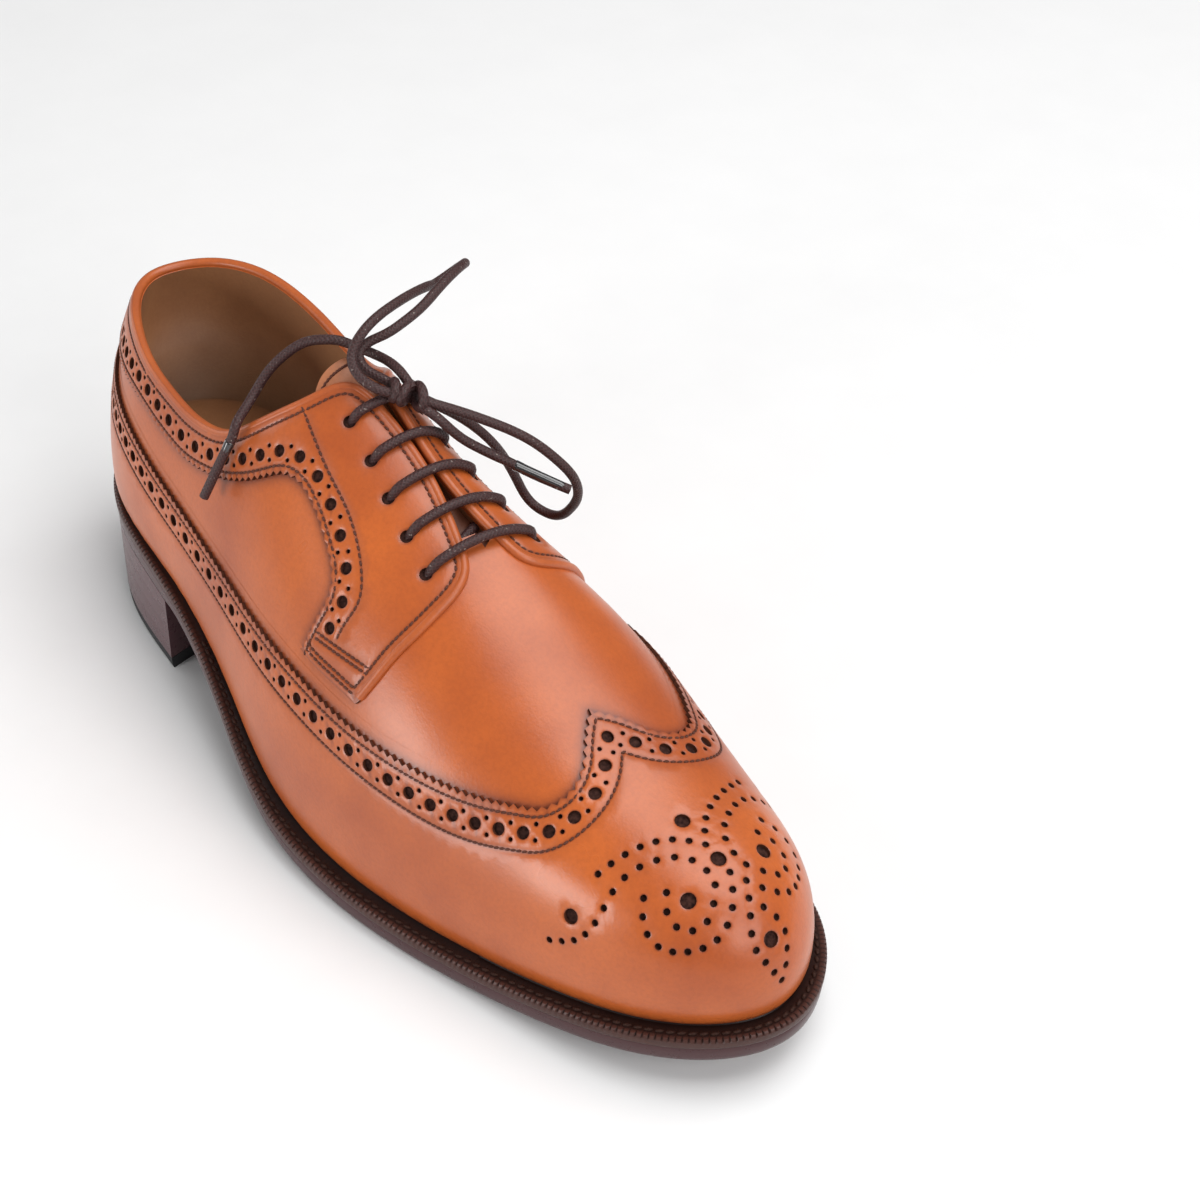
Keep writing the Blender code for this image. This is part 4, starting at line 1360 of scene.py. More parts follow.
@dataclass(frozen=True)
class Fibre:
    """Lace: strands that wind round it both ways, in UV lengths of its diameter, and pale specks that paint
    glints off the wax.
    """

    name: str
    colour: tuple
    shade: tuple
    wax_glint: tuple
    gloss: tuple = (0.4, 0.62)
    strands: float = 7.0
    slant: float = 1.3
    relief: float = 0.4
    shine: float = 0.42
    fuzz_scale: float = 1800.0
    wax_glint_scale: float = 1100.0

    def material(self) -> bpy.types.Material:
        """Builds the node graph.

        Returns:
            The material.
        """
        recipe = Recipe(self.name)
        parts = recipe.node("ShaderNodeSeparateXYZ", Vector=recipe.coordinates("UV"))
        whole_turn = 2.0 * math.pi * self.strands
        along = recipe.math("MULTIPLY", parts.outputs["X"], self.slant * whole_turn / 4.0)
        waves = []
        for sign in (1.0, -1.0):
            turn = recipe.math("MULTIPLY", parts.outputs["Y"], sign * whole_turn)
            waves.append(recipe.math("SINE", recipe.math("ADD", along, turn)))
        weave = recipe.span(recipe.math("MAXIMUM", *waves), start=-0.4, finish=1.0)
        fuzz = recipe.noise(recipe.place(), self.fuzz_scale)
        plain = recipe.mix(recipe.math("MULTIPLY", weave, fuzz), self.shade, self.colour)
        # Pale specks in the base colour paint glints of light off the wax
        wax_glint = recipe.noise(recipe.place(), self.wax_glint_scale, 1.0)
        specks = recipe.span(wax_glint, high=0.7, start=0.70, finish=0.76)
        recipe.feed("Base Color", recipe.mix(specks, plain, self.wax_glint))
        recipe.feed("Roughness", recipe.span(fuzz, *self.gloss))
        recipe.bump(recipe.math("ADD", weave, recipe.math("MULTIPLY", fuzz, 0.4)), self.relief)
        recipe.shine(self.shine, 0.0)
        return recipe.material


@dataclass(frozen=True)
class Plain:
    """Even stuff with a fine mottle: rubber, hole shadow, cap film, thread, floor."""

    name: str
    colour: tuple
    shade: tuple
    gloss: tuple
    scale: float = 700.0
    relief: float = 0.1
    coat: float = 0.0
    shine: float = 0.3
    coat_roughness: float = 0.12

    def material(self) -> bpy.types.Material:
        """Builds the node graph.

        Returns:
            The material.
        """
        recipe = Recipe(self.name)
        mottle = recipe.noise(recipe.place(), self.scale, 3.0)
        recipe.feed("Base Color", recipe.mix(recipe.span(mottle), self.colour, self.shade))
        recipe.feed("Roughness", recipe.span(mottle, *self.gloss))
        if self.relief > 0.0:
            recipe.bump(mottle, self.relief)
        recipe.shine(self.shine, self.coat, self.coat_roughness)
        return recipe.material


class Finishes(Enum):
    """The shoe's finishes, and the floor's."""

    CALF = Leather("tan_calf_dressed", (0.54, 0.122, 0.024), (0.40, 0.080, 0.016), (0.12, 0.024, 0.013))
    CUT = Plain("cut_edge", (0.09, 0.030, 0.017), (0.05, 0.017, 0.010), (0.7, 0.85), shine=0.05)
    BEAD = Leather(
        "folded_edge", (0.50, 0.116, 0.025), (0.38, 0.078, 0.017), (0.12, 0.026, 0.013), (0.34, 0.46)
    )
    TONGUE = Leather(
        "tongue_calf", (0.46, 0.17, 0.075), (0.38, 0.125, 0.05), (0.075, 0.020, 0.011), (0.42, 0.55)
    )
    LINING = Leather(
        "lining_calf", (0.33, 0.15, 0.065), (0.26, 0.11, 0.045), (0.12, 0.05, 0.02), (0.5, 0.65), 0.0
    )
    SOCK = Leather(
        "sock_calf", (0.36, 0.17, 0.075), (0.29, 0.13, 0.055), (0.12, 0.05, 0.02), (0.5, 0.62), 0.0
    )
    WELT = Edge(
        "welt_dressed",
        (0.062, 0.025, 0.02), (0.092, 0.037, 0.028), (0.014, 0.006, 0.005), (0.34, 0.46),
        shine=0.25,
    )
    SOLE = Edge(
        "sole_edge_dressed", (0.062, 0.025, 0.027), (0.074, 0.03, 0.032), (0.02, 0.008, 0.009), (0.26, 0.31)
    )
    # Dark brown, with a purple tint that partly paints the sheen of the polished heel
    HEEL = Edge(
        "heel_edge_dressed", (0.088, 0.038, 0.044), (0.098, 0.043, 0.049), (0.02, 0.008, 0.009), (0.26, 0.3)
    )
    RUBBER = Plain("top_piece_rubber", (0.022, 0.022, 0.023), (0.034, 0.034, 0.036), (0.62, 0.8), 900.0, 0.2)
    THREAD = Plain(
        "sewing_thread", (0.130, 0.046, 0.030), (0.075, 0.027, 0.018), (0.5, 0.65), 2400.0, 0.15, shine=0.15
    )
    WELT_THREAD = Plain(
        "welt_thread", (0.05, 0.022, 0.016), (0.025, 0.011, 0.008), (0.5, 0.65), 2400.0, 0.15, shine=0.1
    )
    # Dark discs of painted shadow at the bottom of the punched holes
    HOLE_SHADOW = Plain(
        "punched_hole_shadow", (0.065, 0.028, 0.021), (0.018, 0.008, 0.007), (0.7, 0.85), 1100.0, 0.3, shine=0.05
    )
    # The lace's third colour is its painted wax glint
    LACE = Fibre("waxed_lace", (0.079, 0.029, 0.028), (0.029, 0.0105, 0.010), (0.30, 0.25, 0.22))
    CAP = Plain("lace_tip", (0.030, 0.026, 0.027), (0.012, 0.010, 0.011), (0.1, 0.18), 300.0, 0.0, 1.0, 0.5)
    FLOOR = Plain("studio_floor", (0.86, 0.86, 0.86), (0.84, 0.84, 0.84), (0.7, 0.8), 30.0, 0.0)

    def material(self) -> bpy.types.Material:
        """The finish's material, built once."""
        return bpy.data.materials.get(self.value.name) or self.value.material()


class Slot(Enum):
    """The record's material slots."""

    CALF = "tan_calf"
    CALF_LIGHT = "tan_calf_light"
    SOLE = "sole_leather"
    WELT = "welt_leather"
    HEEL = "heel_leather"
    RUBBER = "rubber"
    LINING = "lining"
    LACE = "lace"
    AGLET = "aglet"


def linked(
    name: str, shape: Shape, finishes: Sequence[Finishes], smooth: float
) -> bpy.types.Object:
    """Puts a shape into the scene as an object.

    Args:
        name: Name of the object.
        shape: Its shape, which is used up.
        finishes: Finishes in the order of the shape's material numbers.
        smooth: Angle from which an edge is sharp.

    Returns:
        The object.
    """
    mesh = bpy.data.meshes.new(name)
    shape.to_mesh(mesh)
    shape.free()
    mesh.shade_smooth()
    mesh.set_sharp_from_angle(angle=smooth)
    for finish in finishes:
        mesh.materials.append(finish.material())
    made = bpy.data.objects.new(name, mesh)
    bpy.context.scene.collection.objects.link(made)
    return made


def add_piece(
    name: str,
    shape: Shape,
    finishes: Sequence[Finishes],
    stands_for: Sequence[str] = (),
    smooth: float = SMOOTH_ANGLE,
) -> bpy.types.Object:
    """Puts a shape into the scene as a piece of the shoe.

    Args:
        name: Name of the piece.
        shape: Its shape, placed in the frame, which is used up.
        finishes: Finishes in the order of the shape's material numbers.
        stands_for: Names of the solids that it replaces.
        smooth: Angle from which an edge is sharp.

    Returns:
        The object.
    """
    piece = linked(name, shape, finishes, smooth)
    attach(piece, "root")
    if stands_for:
        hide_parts(*stands_for)
    log.info("%s: %d faces", name, len(piece.data.polygons))
    return piece


@dataclass
class Stitching:
    """Sewn rows: every stitch is a small slanted bead of thread that lies in its groove."""

    pattern: Pattern
    pitch: float = 1.8
    half_sizes: tuple = (0.9, 0.44, 0.32)
    slant: float = math.radians(11.0)
    way_reach: float = 0.5
    meshes: list = field(default_factory=list)

    def add(self, points: Array, ways: Array, normals: Array, size: float = 1.0) -> None:
        """Sews a row.

        Args:
            points: Middles of the stitches in millimetres.
            ways: Directions of the row.
            normals: Directions out of the leather.
            size: How much coarser than usual the stitches are.
        """
        row = bmesh.new()
        leaning = ways * math.cos(self.slant) + np.cross(normals, ways) * math.sin(self.slant)
        axes = np.stack([leaning, np.cross(normals, leaning), normals], 1)
        axes *= np.array(self.half_sizes)[:, None] * size * MM
        for spot, sides in zip(placed(points), axes):
            bmesh.ops.create_icosphere(row, subdivisions=1, radius=1.0, matrix=axes_matrix(sides, spot))
        mesh = bpy.data.meshes.new("stitch_row")
        row.to_mesh(mesh)
        row.free()
        self.meshes.append(mesh)

    def row(self, line: Line, offset: float) -> None:
        """Sews a row along a line of the pattern.

        Args:
            line: The row's line.
            offset: Distance of the stitches' middles from the last.
        """
        spots, flat_ways = line.pitched(self.pitch)
        ahead = self.pattern.place(spots + flat_ways * self.way_reach, offset)
        back = self.pattern.place(spots - flat_ways * self.way_reach, offset)
        normals = self.pattern.last.normal(*self.pattern.chart(spots))
        self.add(self.pattern.place(spots, offset), square_to(ahead - back, normals), normals)

    def piece(self, name: str, finish: Finishes, slot: Slot) -> None:
        """Joins the rows sewn since the last call into one piece.

        Args:
            name: Name of the piece.
            finish: The thread.
            slot: The record's material slot; not used.
        """
        shape = bmesh.new()
        for mesh in self.meshes:
            shape.from_mesh(mesh)
            bpy.data.meshes.remove(mesh)
        self.meshes = []
        add_piece(name, shape, [finish], smooth=math.pi)


def facing_lag(x: Array, side: Side) -> Array:
    """How much further forward a facing lies at stations of a side; on the lateral side it is 0."""
    full = 3.5 if side is Side.MEDIAL else 0.0
    return full * faded(x, start=90.0, reach=30.0)


def from_heel(x: Array, rise: Array) -> tuple[Array, Array]:
    """Adds closer points round the back to a line that starts at the heel seam.

    Args:
        x: Stations of the line.
        rise: Its rises.

    Returns:
        Stations and rises with the added ones.
    """
    if x[0] > 0.0:
        return x, rise
    shares = np.array([0.02, 0.08, 0.2, 0.4, 0.65])
    near_rise = rise[0] + (rise[1] - rise[0]) * shares
    return np.concatenate([x[:1], x[1] * shares, x[1:]]), np.concatenate([rise[:1], near_rise, rise[1:]])


@dataclass
class Upper:
    """Vamp and quarters: one wall, open at the collar, the throat and underneath, lined inside."""

    last: Last
    wall: float = 1.8
    columns: int = 300
    rows: int = 40
    reveal: float = 0.006
    throat_end_x: float = 163.5
    throat_close: float = 0.8
    turn_weight: float = 60.0
    samples: int = 3000

    def opening(self, x: Array, side: Side) -> Array:
        """Follows the edge of the collar and the throat, and the ridge ahead of the throat.

        Args:
            x: Stations.
            side: The side that they are on.

        Returns:
            The edge's rises.
        """
        top_x = FACING.column("top_x")
        rise = FACING.column("top_rise")
        count = int(np.argmax(top_x >= self.throat_end_x))
        end_rise = np.interp(self.throat_end_x, top_x[: count + 1], rise[: count + 1])
        edge_x = np.append(top_x[:count], [self.throat_end_x, self.throat_end_x + self.throat_close])
        edge_rise = np.append(rise[:count] - self.reveal, [end_rise - self.reveal, 1.0])
        return np.interp(x, edge_x + facing_lag(edge_x, side), edge_rise)

    def travels(self) -> Array:
        """Spaces columns round the feather line, closer where it turns and where the opening climbs.

        Returns:
            Places along the feather line.
        """
        fine = np.linspace(0.0, self.last.toe, self.samples)
        point, out = self.last.edge(fine)
        top = running_length(self.last.arch(fine, self.opening(point[:, 0], Side.LATERAL)))
        weight = running_length(point) + top + self.turn_weight * running_length(out)
        half = np.interp(np.linspace(0.0, weight[-1], self.columns // 2 + 1), weight, fine)
        back = self.last.travel_at(self.last.outline(half[-2:0:-1])[:, 0], Side.MEDIAL)
        return np.concatenate([half, back, [1.0]])

    def build(self) -> None:
        """Builds the wall: leather outside, lining inside."""
        travel = self.travels()
        base_x = self.last.outline(travel)[:, 0]
        lateral = self.opening(base_x, Side.LATERAL)
        medial = self.opening(base_x, Side.MEDIAL)
        top = np.where(travel > self.last.toe, medial, lateral)
        rise = top[:, None] * np.linspace(0.0, 1.0, self.rows + 1)
        where = np.broadcast_to(travel[:, None], rise.shape)
        shape = bmesh.new()
        add_sheet(shape, self.last.surface(where, rise, 0.0))
        for face in add_sheet(shape, self.last.surface(where, rise, -self.wall)):
            face.material_index = 1
        bmesh.ops.remove_doubles(shape, verts=shape.verts, dist=WELD)
        bmesh.ops.bridge_loops(shape, edges=open_edges(shape))
        bmesh.ops.recalc_face_normals(shape, faces=shape.faces)
        add_piece("upper_dressed", shape, [Finishes.CALF, Finishes.LINING], ["upper"])


@dataclass
class Overlay:
    """What the wing and the facings share: a gimped edge, punched lines and stitch rows."""

    pattern: Pattern
    sewing: Stitching
    thickness: float = 1.35
    gimp_pitch: float = 2.7
    gimp_depth: float = 1.0
    stitch_sink: float = 0.2
    pair_half: float = 1.75
    large: Punch = Punch(1.7, 14, 0.18)
    small: Punch = Punch(0.62, 8, 0.12)
    hollow_offset: float = 0.16
    hollow_spread: float = 1.12
    shade_step: float = 1.2
    # Strip along a gimped edge: painted shadow with burnish, darkest in the notches and fading outwards
    shade: Table = Table(
        ("reach", "burnish_and_shade", "offset"),
        (
            (-1.9, 1.0, 0.09), (-0.6, 1.0, 0.09), (0.2, 0.75, 0.08), (0.9, 0.4, 0.07), (1.9, 0.15, 0.06),
            (3.0, 0.0, 0.05),
        ),
    )

    def sew(self, panel: Panel, rows: Sequence[Line]) -> None:
        """Sinks rows into the panel and sews them.

        Args:
            panel: The panel.
            rows: Lines of the rows.
        """
        for row in rows:
            panel.rows.append(row)
            self.sewing.row(row, self.thickness - self.stitch_sink)

    def punch_line(self, panel: Panel, line: Line, pitch: float, large: slice) -> None:
        """Punches large holes along a line, and pairs of small ones between them.

        Args:
            panel: The panel.
            line: The line.
            pitch: Wanted distance between large holes.
            large: Which places get a large hole.
        """
        centres, ways = line.pitched(pitch, ends=True)
        panel.punch(centres[large], self.large)
        middles = (centres[1:] + centres[:-1]) / 2.0
        for sign in (1.0, -1.0):
            panel.punch(middles + rightward(ways[1:]) * self.pair_half * sign, self.small)

    def hollows(self, panel: Panel) -> Shape:
        """Lays a small dark disc of painted shadow under each punched hole.

        Args:
            panel: The punched panel.

        Returns:
            The discs.
        """
        shape = bmesh.new()
        travel, rise = self.pattern.chart(np.array([centre for centre, _ in panel.holes]))
        points = placed(self.pattern.last.surface(travel, rise, self.hollow_offset))
        normals = self.pattern.last.normal(travel, rise)
        for (_, tool), point, normal in zip(panel.holes, points, normals):
            turn = Vector(normal).to_track_quat("Z", "Y").to_matrix().to_4x4()
            matrix = Matrix.Translation(point) @ turn
            radius = tool.radius * self.hollow_spread * MM
            bmesh.ops.create_circle(
                shape, cap_ends=True, segments=tool.corners, radius=radius, matrix=matrix
            )
        return shape

    def edge_shade(self, line: Line, hand: float) -> Shape:
        """Lays a strip of burnish and painted shadow in the notches of a gimped edge and beside it, fading
        outwards.

        Args:
            line: The edge that the tips of the teeth lie on.
            hand: 1 where the panel lies right of the line's way, -1 where it lies left.

        Returns:
            The strip.
        """
        spots, ways = line.pitched(self.shade_step, ends=True)
        reach = self.shade.column("reach")[:, None]
        flat = spots[:, None] - rightward(ways)[:, None] * hand * reach
        size = flat.shape[:2]
        offset = np.broadcast_to(self.shade.column("offset"), size).ravel()
        marks = np.broadcast_to(self.shade.column("burnish_and_shade"), size)
        shape = bmesh.new()
        add_sheet(shape, self.pattern.place(flat.reshape(-1, 2), offset).reshape(*size, 3), marks)
        if hand < 0.0:
            bmesh.ops.reverse_faces(shape, faces=shape.faces)
        return shape

    def dress(self, name: str, panel: Panel, edge: Line, hand: float) -> None:
        """Adds the panel, the painted shadow in its holes, and the painted shadow and burnish along its
        gimped edge.

        Args:
            name: Name of the solid that it stands for.
            panel: The panel, cut, punched and sewn.
            edge: Its gimped edge.
            hand: 1 where the panel lies right of the edge's way, -1 where it lies left.
        """
        add_piece(name + "_dressed", panel.shape(), [Finishes.CALF, Finishes.CUT], [name])
        add_piece(name + "_hollows", self.hollows(panel), [Finishes.HOLE_SHADOW])
        add_piece(name + "_edge_shade", self.edge_shade(edge, hand), [Finishes.CALF])


@dataclass
class Wing(Overlay):
    """Long wing with its gimped edge, punched line, medallion and stitch rows."""

    foot_rise: float = 0.006
    foot_thickness: float = 0.3
    foot_step: float = 2.2
    foot_samples: int = 2001
    rows: tuple = (2.2, 9.8)
    hole_line: float = 5.8
    hole_pitch: float = 7.7

    def edge(self) -> Line:
        """Draws the upper edge from the heel seam over the peak and back to the heel seam.

        Returns:
            The edge.
        """
        x, rise = from_heel(WING_EDGE.column("x"), WING_EDGE.column("rise"))
        halves = [Line.through(self.pattern.flat(x, rise, side)) for side in Side]
        middle = (halves[0].points[-1] + halves[1].points[-1]) / 2.0
        for half in halves:
            half.points[-1] = middle
        return halves[0].then(halves[1].turned())

    def foot(self) -> Array:
        """Draws the closed foot loop just above the welt.

        Returns:
            Flat points.
        """
        last = self.pattern.last
        travel = np.linspace(0.0, 1.0, self.foot_samples)
        length = running_length(last.outline(travel))
        count = int(round(length[-1] / self.foot_step))
        spots = np.interp(np.arange(count) * length[-1] / count, length, travel)
        x = last.outline(spots)[:, 0]
        rise = np.full(len(x), self.foot_rise)
        lateral = self.pattern.flat(x, rise, Side.LATERAL)
        medial = self.pattern.flat(x, rise, Side.MEDIAL)
        return np.where((spots <= last.toe)[:, None], lateral, medial)

    def branches(self, line: Line) -> list[Line]:
        """Parts a row at the corner under the peak.

        Args:
            line: The row.

        Returns:
            Its two branches, each from the corner to the heel.
        """
        axis = np.interp(line.points[:, 0], *self.pattern.middle)
        toeward = line.points[:, 0] > HEEL_CENTRE_X
        corner = line.travel[np.argmin(np.where(toeward, np.abs(line.points[:, 1] - axis), np.inf))]
        return [line.part(0.0, corner).turned(), line.part(corner, line.length)]

    def build(self) -> None:
        """Cuts, punches and sews the wing."""
        edge = self.edge()
        panel = Panel(self.pattern, self.thickness, self.foot_thickness)
        first, second = self.branches(edge)
        back = first.gimped(self.gimp_pitch, -self.gimp_depth)
        forth = second.gimped(self.gimp_pitch, self.gimp_depth)
        panel.loops = [self.foot(), np.vstack([back[::-1], forth[1:-1]])]
        self.sew(panel, [edge.beside(distance) for distance in self.rows])
        for number, branch in enumerate(self.branches(edge.beside(self.hole_line))):
            self.punch_line(panel, branch, self.hole_pitch, slice(number, -1))
        Medallion(self.pattern).punch(panel)
        self.dress("wing", panel, edge, 1.0)


@dataclass
class Medallion:
    """Punched ornament on the toe, the same on both sides of its axis: places are ahead and beside.

    A curl of small holes has their number and points of its curve.
    """

    pattern: Pattern
    large: Punch = Punch(2.0, 14, 0.2)
    small: Punch = Punch(0.9, 9, 0.14)
    axis_reach: float = 1.2
    curve_step: float = 0.1
    singles: tuple = (-6.8, 6.6, 29.5)
    pairs: tuple = ((10.1, 12.6), (-11.8, 37.4))
    curls: tuple = (
        (13, ((-15.1, 47.6), (-6.7, 39.8), (-5, 31), (-5.8, 23.4), (-2.3, 11.1), (3.1, 5.4), (7.4, 4.3))),
        (8, ((-11.6, 24.5), (-8.2, 12.7), (-4.2, 5.4), (1.8, 0))),
        (7, ((4.8, 15.4), (8.1, 18.3), (12.3, 18.9), (16.3, 15.9), (16.8, 11.3), (14.7, 8), (11.4, 4.9))),
        (12, ((1.5, 20.4), (7, 25.3), (11.2, 25.9), (19.3, 20), (21.8, 11.5), (17.8, 4.4), (10.9, 0))),
        (7, ((18.5, 0), (22, 2), (25, 3.7), (29.2, 4.9), (33.6, 3.8), (37.4, 2.2), (41, 0))),
    )

    def spots(self, ahead: Sequence[float], aside: Sequence[float]) -> Array:
        """Places holes on the toe.

        Args:
            ahead: Distances along the toe's axis.
            aside: Distances beside it.

        Returns:
            Flat points.
        """
        rays = self.pattern.rays[Side.LATERAL]
        way = rays.way[-1]
        return rays.root[-1] + np.outer(ahead, way) + np.outer(aside, (-way[1], way[0]))

    def punch(self, panel: Panel) -> None:
        """Punches the ornament.

        Args:
            panel: The panel that gets it.
        """
        panel.punch(self.spots(self.singles, np.zeros(len(self.singles))), self.large)
        for ahead, aside in self.pairs:
            panel.punch(self.spots((ahead, ahead), (aside, -aside)), self.large)
        axis_holes = []
        for count, curve in self.curls:
            line = Line(smooth_points(curve, self.curve_step))
            ahead, aside = line.spot(np.linspace(0.0, line.length, count)).T
            beside = np.abs(aside) > self.axis_reach
            for sign in (1.0, -1.0):
                panel.punch(self.spots(ahead[beside], sign * aside[beside]), self.small)
            axis_holes += list(ahead[~beside])
        panel.punch(self.spots(axis_holes, np.zeros(len(axis_holes))), self.small)


@dataclass
class Facing(Overlay):
    """Eyestay, collar strip and tab of one side, with folded edge, eyelets, punched line and stitch rows."""

    side: Side = Side.LATERAL
    edge_step: float = 1.6
    first_row: float = 2.1
    top_row: float = 3.1
    tab_gap: float = 1.5
    foot_row: float = 1.6
    foot_ends: tuple = (2.0, 1.5)
    hole_line: float = 5.6
    hole_pitch: float = 7.6
    tab_room: float = 12.5
    eyelet: Punch = Punch(1.75, 16, 0.3, 0.9)
    bead_inset: float = 0.85
    bead_step: float = 1.5
    bead_sides: int = 14
    bead_overlap: float = 0.5
    bead_radius: float = 1.3
    bead_offset: float = 0.35
    collar_radius: float = 1.5
    collar_offset: float = -0.1
    collar_blend: float = 8.0

    @property
    def name(self) -> str:
        """Name of the solid that the facing stands for."""
        return "facing_" + self.side.value

    @property
    def hand(self) -> float:
        """1 where the facing lies right of its lower edge's way, -1 where it lies left."""
        return -1.0 if self.side is Side.LATERAL else 1.0

    def line(self, table: Table, edge: str = "", ribs: slice = slice(None)) -> Line:
        """Smooth line through rows of a table, by the columns whose names start with the edge's."""
        x, rise = from_heel(table.column(edge + "x")[ribs], table.column(edge + "rise")[ribs])
        return Line.through(self.pattern.flat(x + facing_lag(x, self.side), rise, self.side))

    def rows(self, low: Line, foot: Line, top: Line) -> list[Line]:
        """Draws the stitch rows.

        Args:
            low: Lower edge of the collar strip and the eyestay.
            foot: Lower edge of the tab.
            top: Upper edge.

        Returns:
            The rows.
        """
        tab = self.line(TAB_ROW)
        seam = foot.part(self.foot_ends[0], foot.length - self.foot_ends[1])
        return [
            low.beside(self.hand * self.first_row),
            top.beside(-self.hand * self.top_row),
            self.line(EYESTAY_ROW),
            tab,
            tab.beside(-self.hand * self.tab_gap),
            seam.beside(self.hand * self.foot_row),
            seam.beside(self.hand * (self.foot_row + self.tab_gap)),
        ]

    def build(self) -> None:
        """Cuts, punches, sews and edges the facing."""
        low = self.line(FACING, "low_", slice(TAB_CORNER_RIB + 1))
        foot = self.line(FACING, "low_", slice(TAB_CORNER_RIB, None))
        top = self.line(FACING, "top_")
        panel = Panel(self.pattern, self.thickness)
        teeth = low.gimped(self.gimp_pitch, self.hand * self.gimp_depth)
        below, above = (line.pitched(self.edge_step, ends=True)[0] for line in (foot, top.turned()))
        panel.loops = [np.vstack([teeth, below[1:], above])]
        self.sew(panel, self.rows(low, foot, top))
        holes = low.beside(self.hand * self.hole_line)
        holes = holes.part(0.0, holes.length - self.tab_room)
        self.punch_line(panel, holes, self.hole_pitch, slice(1, None))
        panel.punch(self.eyelets(), self.eyelet)
        self.dress(self.name, panel, low, self.hand)
        self.bead(top.beside(-self.hand * self.bead_inset))

    def eyelets(self) -> Array:
        """Flat points of the eyelets."""
        x, rise = (EYELETS.column(self.side.value + key) for key in ("_x", "_rise"))
        return self.pattern.flat(x, rise, self.side)

    def bead(self, line: Line) -> None:
        """Folds the edge over along the collar, the throat and the front.

        Args:
            line: Middle of the fold.
        """
        spots, ways = line.pitched(self.bead_step, ends=True)
        spots = np.vstack([spots[0] - ways[0] * self.bead_overlap, spots])
        x, rise = (FACING.column(key)[COLLAR_END_RIB : COLLAR_END_RIB + 1] for key in ("top_x", "top_rise"))
        collar_end = self.pattern.flat(x + facing_lag(x, self.side), rise, self.side)
        end = np.argmin(np.linalg.norm(spots - collar_end, axis=1))
        share = faded(end - np.arange(len(spots)), 0.0, self.collar_blend)
        offset = self.bead_offset + (self.collar_offset - self.bead_offset) * share
        radius = self.bead_radius + (self.collar_radius - self.bead_radius) * share
        shape = tube(self.pattern.place(spots, offset), radius, self.bead_sides)
        add_piece(self.name + "_folded_edge", shape, [Finishes.BEAD])


@dataclass
class Tongue:
    """Flap under the facings, with a sewn hem."""

    last: Last
    sewing: Stitching
    shallow: float = 2.2
    deep: float = 4.7
    sink_start: float = 112.0
    sink_reach: float = 62.0
    sink_power: float = 0.7
    thickness: float = 1.8
    corner: float = 5.0
    corner_power: int = 6
    hem: float = 2.6
    hem_margin: float = 0.05
    hem_stitches: int = 26
    hem_rise: float = 0.1
    shade_from: float = 0.1
    shade_reach: float = 0.2
    length_steps: int = 60
    width_steps: int = 28

    def chart(self, along: Array, over: Array) -> tuple[Array, Array, Array]:
        """Charts the flap.

        Args:
            along: Shares along it, from its free end.
            over: Shares across it, from the lateral side.

        Returns:
            Places along the feather line, rises, and depths under the last's surface.
        """
        across = 2.0 * over - 1.0
        stations = TONGUE.column("x")
        start = stations[0] + self.corner * np.abs(across) ** self.corner_power
        x = start + (stations[-1] - start) * along
        travel, rise = self.last.crossing(x, (1.0 - TONGUE.spline("rise")(x)) * across)
        sink = np.sin(math.pi * faded(x, self.sink_start, self.sink_reach)) ** self.sink_power
        return travel, rise, self.shallow + (self.deep - self.shallow) * sink

    def build(self) -> None:
        """Builds the flap, with painted shade that darkens it further down the throat, and sews its hem."""
        along = np.linspace(0.0, 1.0, self.length_steps + 1)[:, None]
        over = np.linspace(0.0, 1.0, self.width_steps + 1)
        travel, rise, depth = self.chart(*np.broadcast_arrays(along, over))
        # Painted shade: the flap darkens further down the throat
        marks = np.broadcast_to(faded(along, self.shade_from, self.shade_reach), rise.shape)
        shape = bmesh.new()
        for thickness in (0.0, self.thickness):
            add_sheet(shape, self.last.surface(travel, rise, -depth - thickness), marks)
        bmesh.ops.bridge_loops(shape, edges=open_edges(shape))
        bmesh.ops.recalc_face_normals(shape, faces=shape.faces)
        add_piece("tongue_dressed", shape, [Finishes.TONGUE], ["tongue"])
        self.sew_hem()

    def sew_hem(self) -> None:
        """Sews a row of stitches along the free end."""
        over = np.linspace(self.hem_margin, 1.0 - self.hem_margin, self.hem_stitches)
        length = np.ptp(TONGUE.column("x"))
        travel, rise, depth = self.chart(np.full(len(over), self.hem / length), over)
        points = self.last.surface(travel, rise, self.hem_rise - depth)
        self.sewing.add(points, unit(np.gradient(points, axis=0)), self.last.normal(travel, rise))


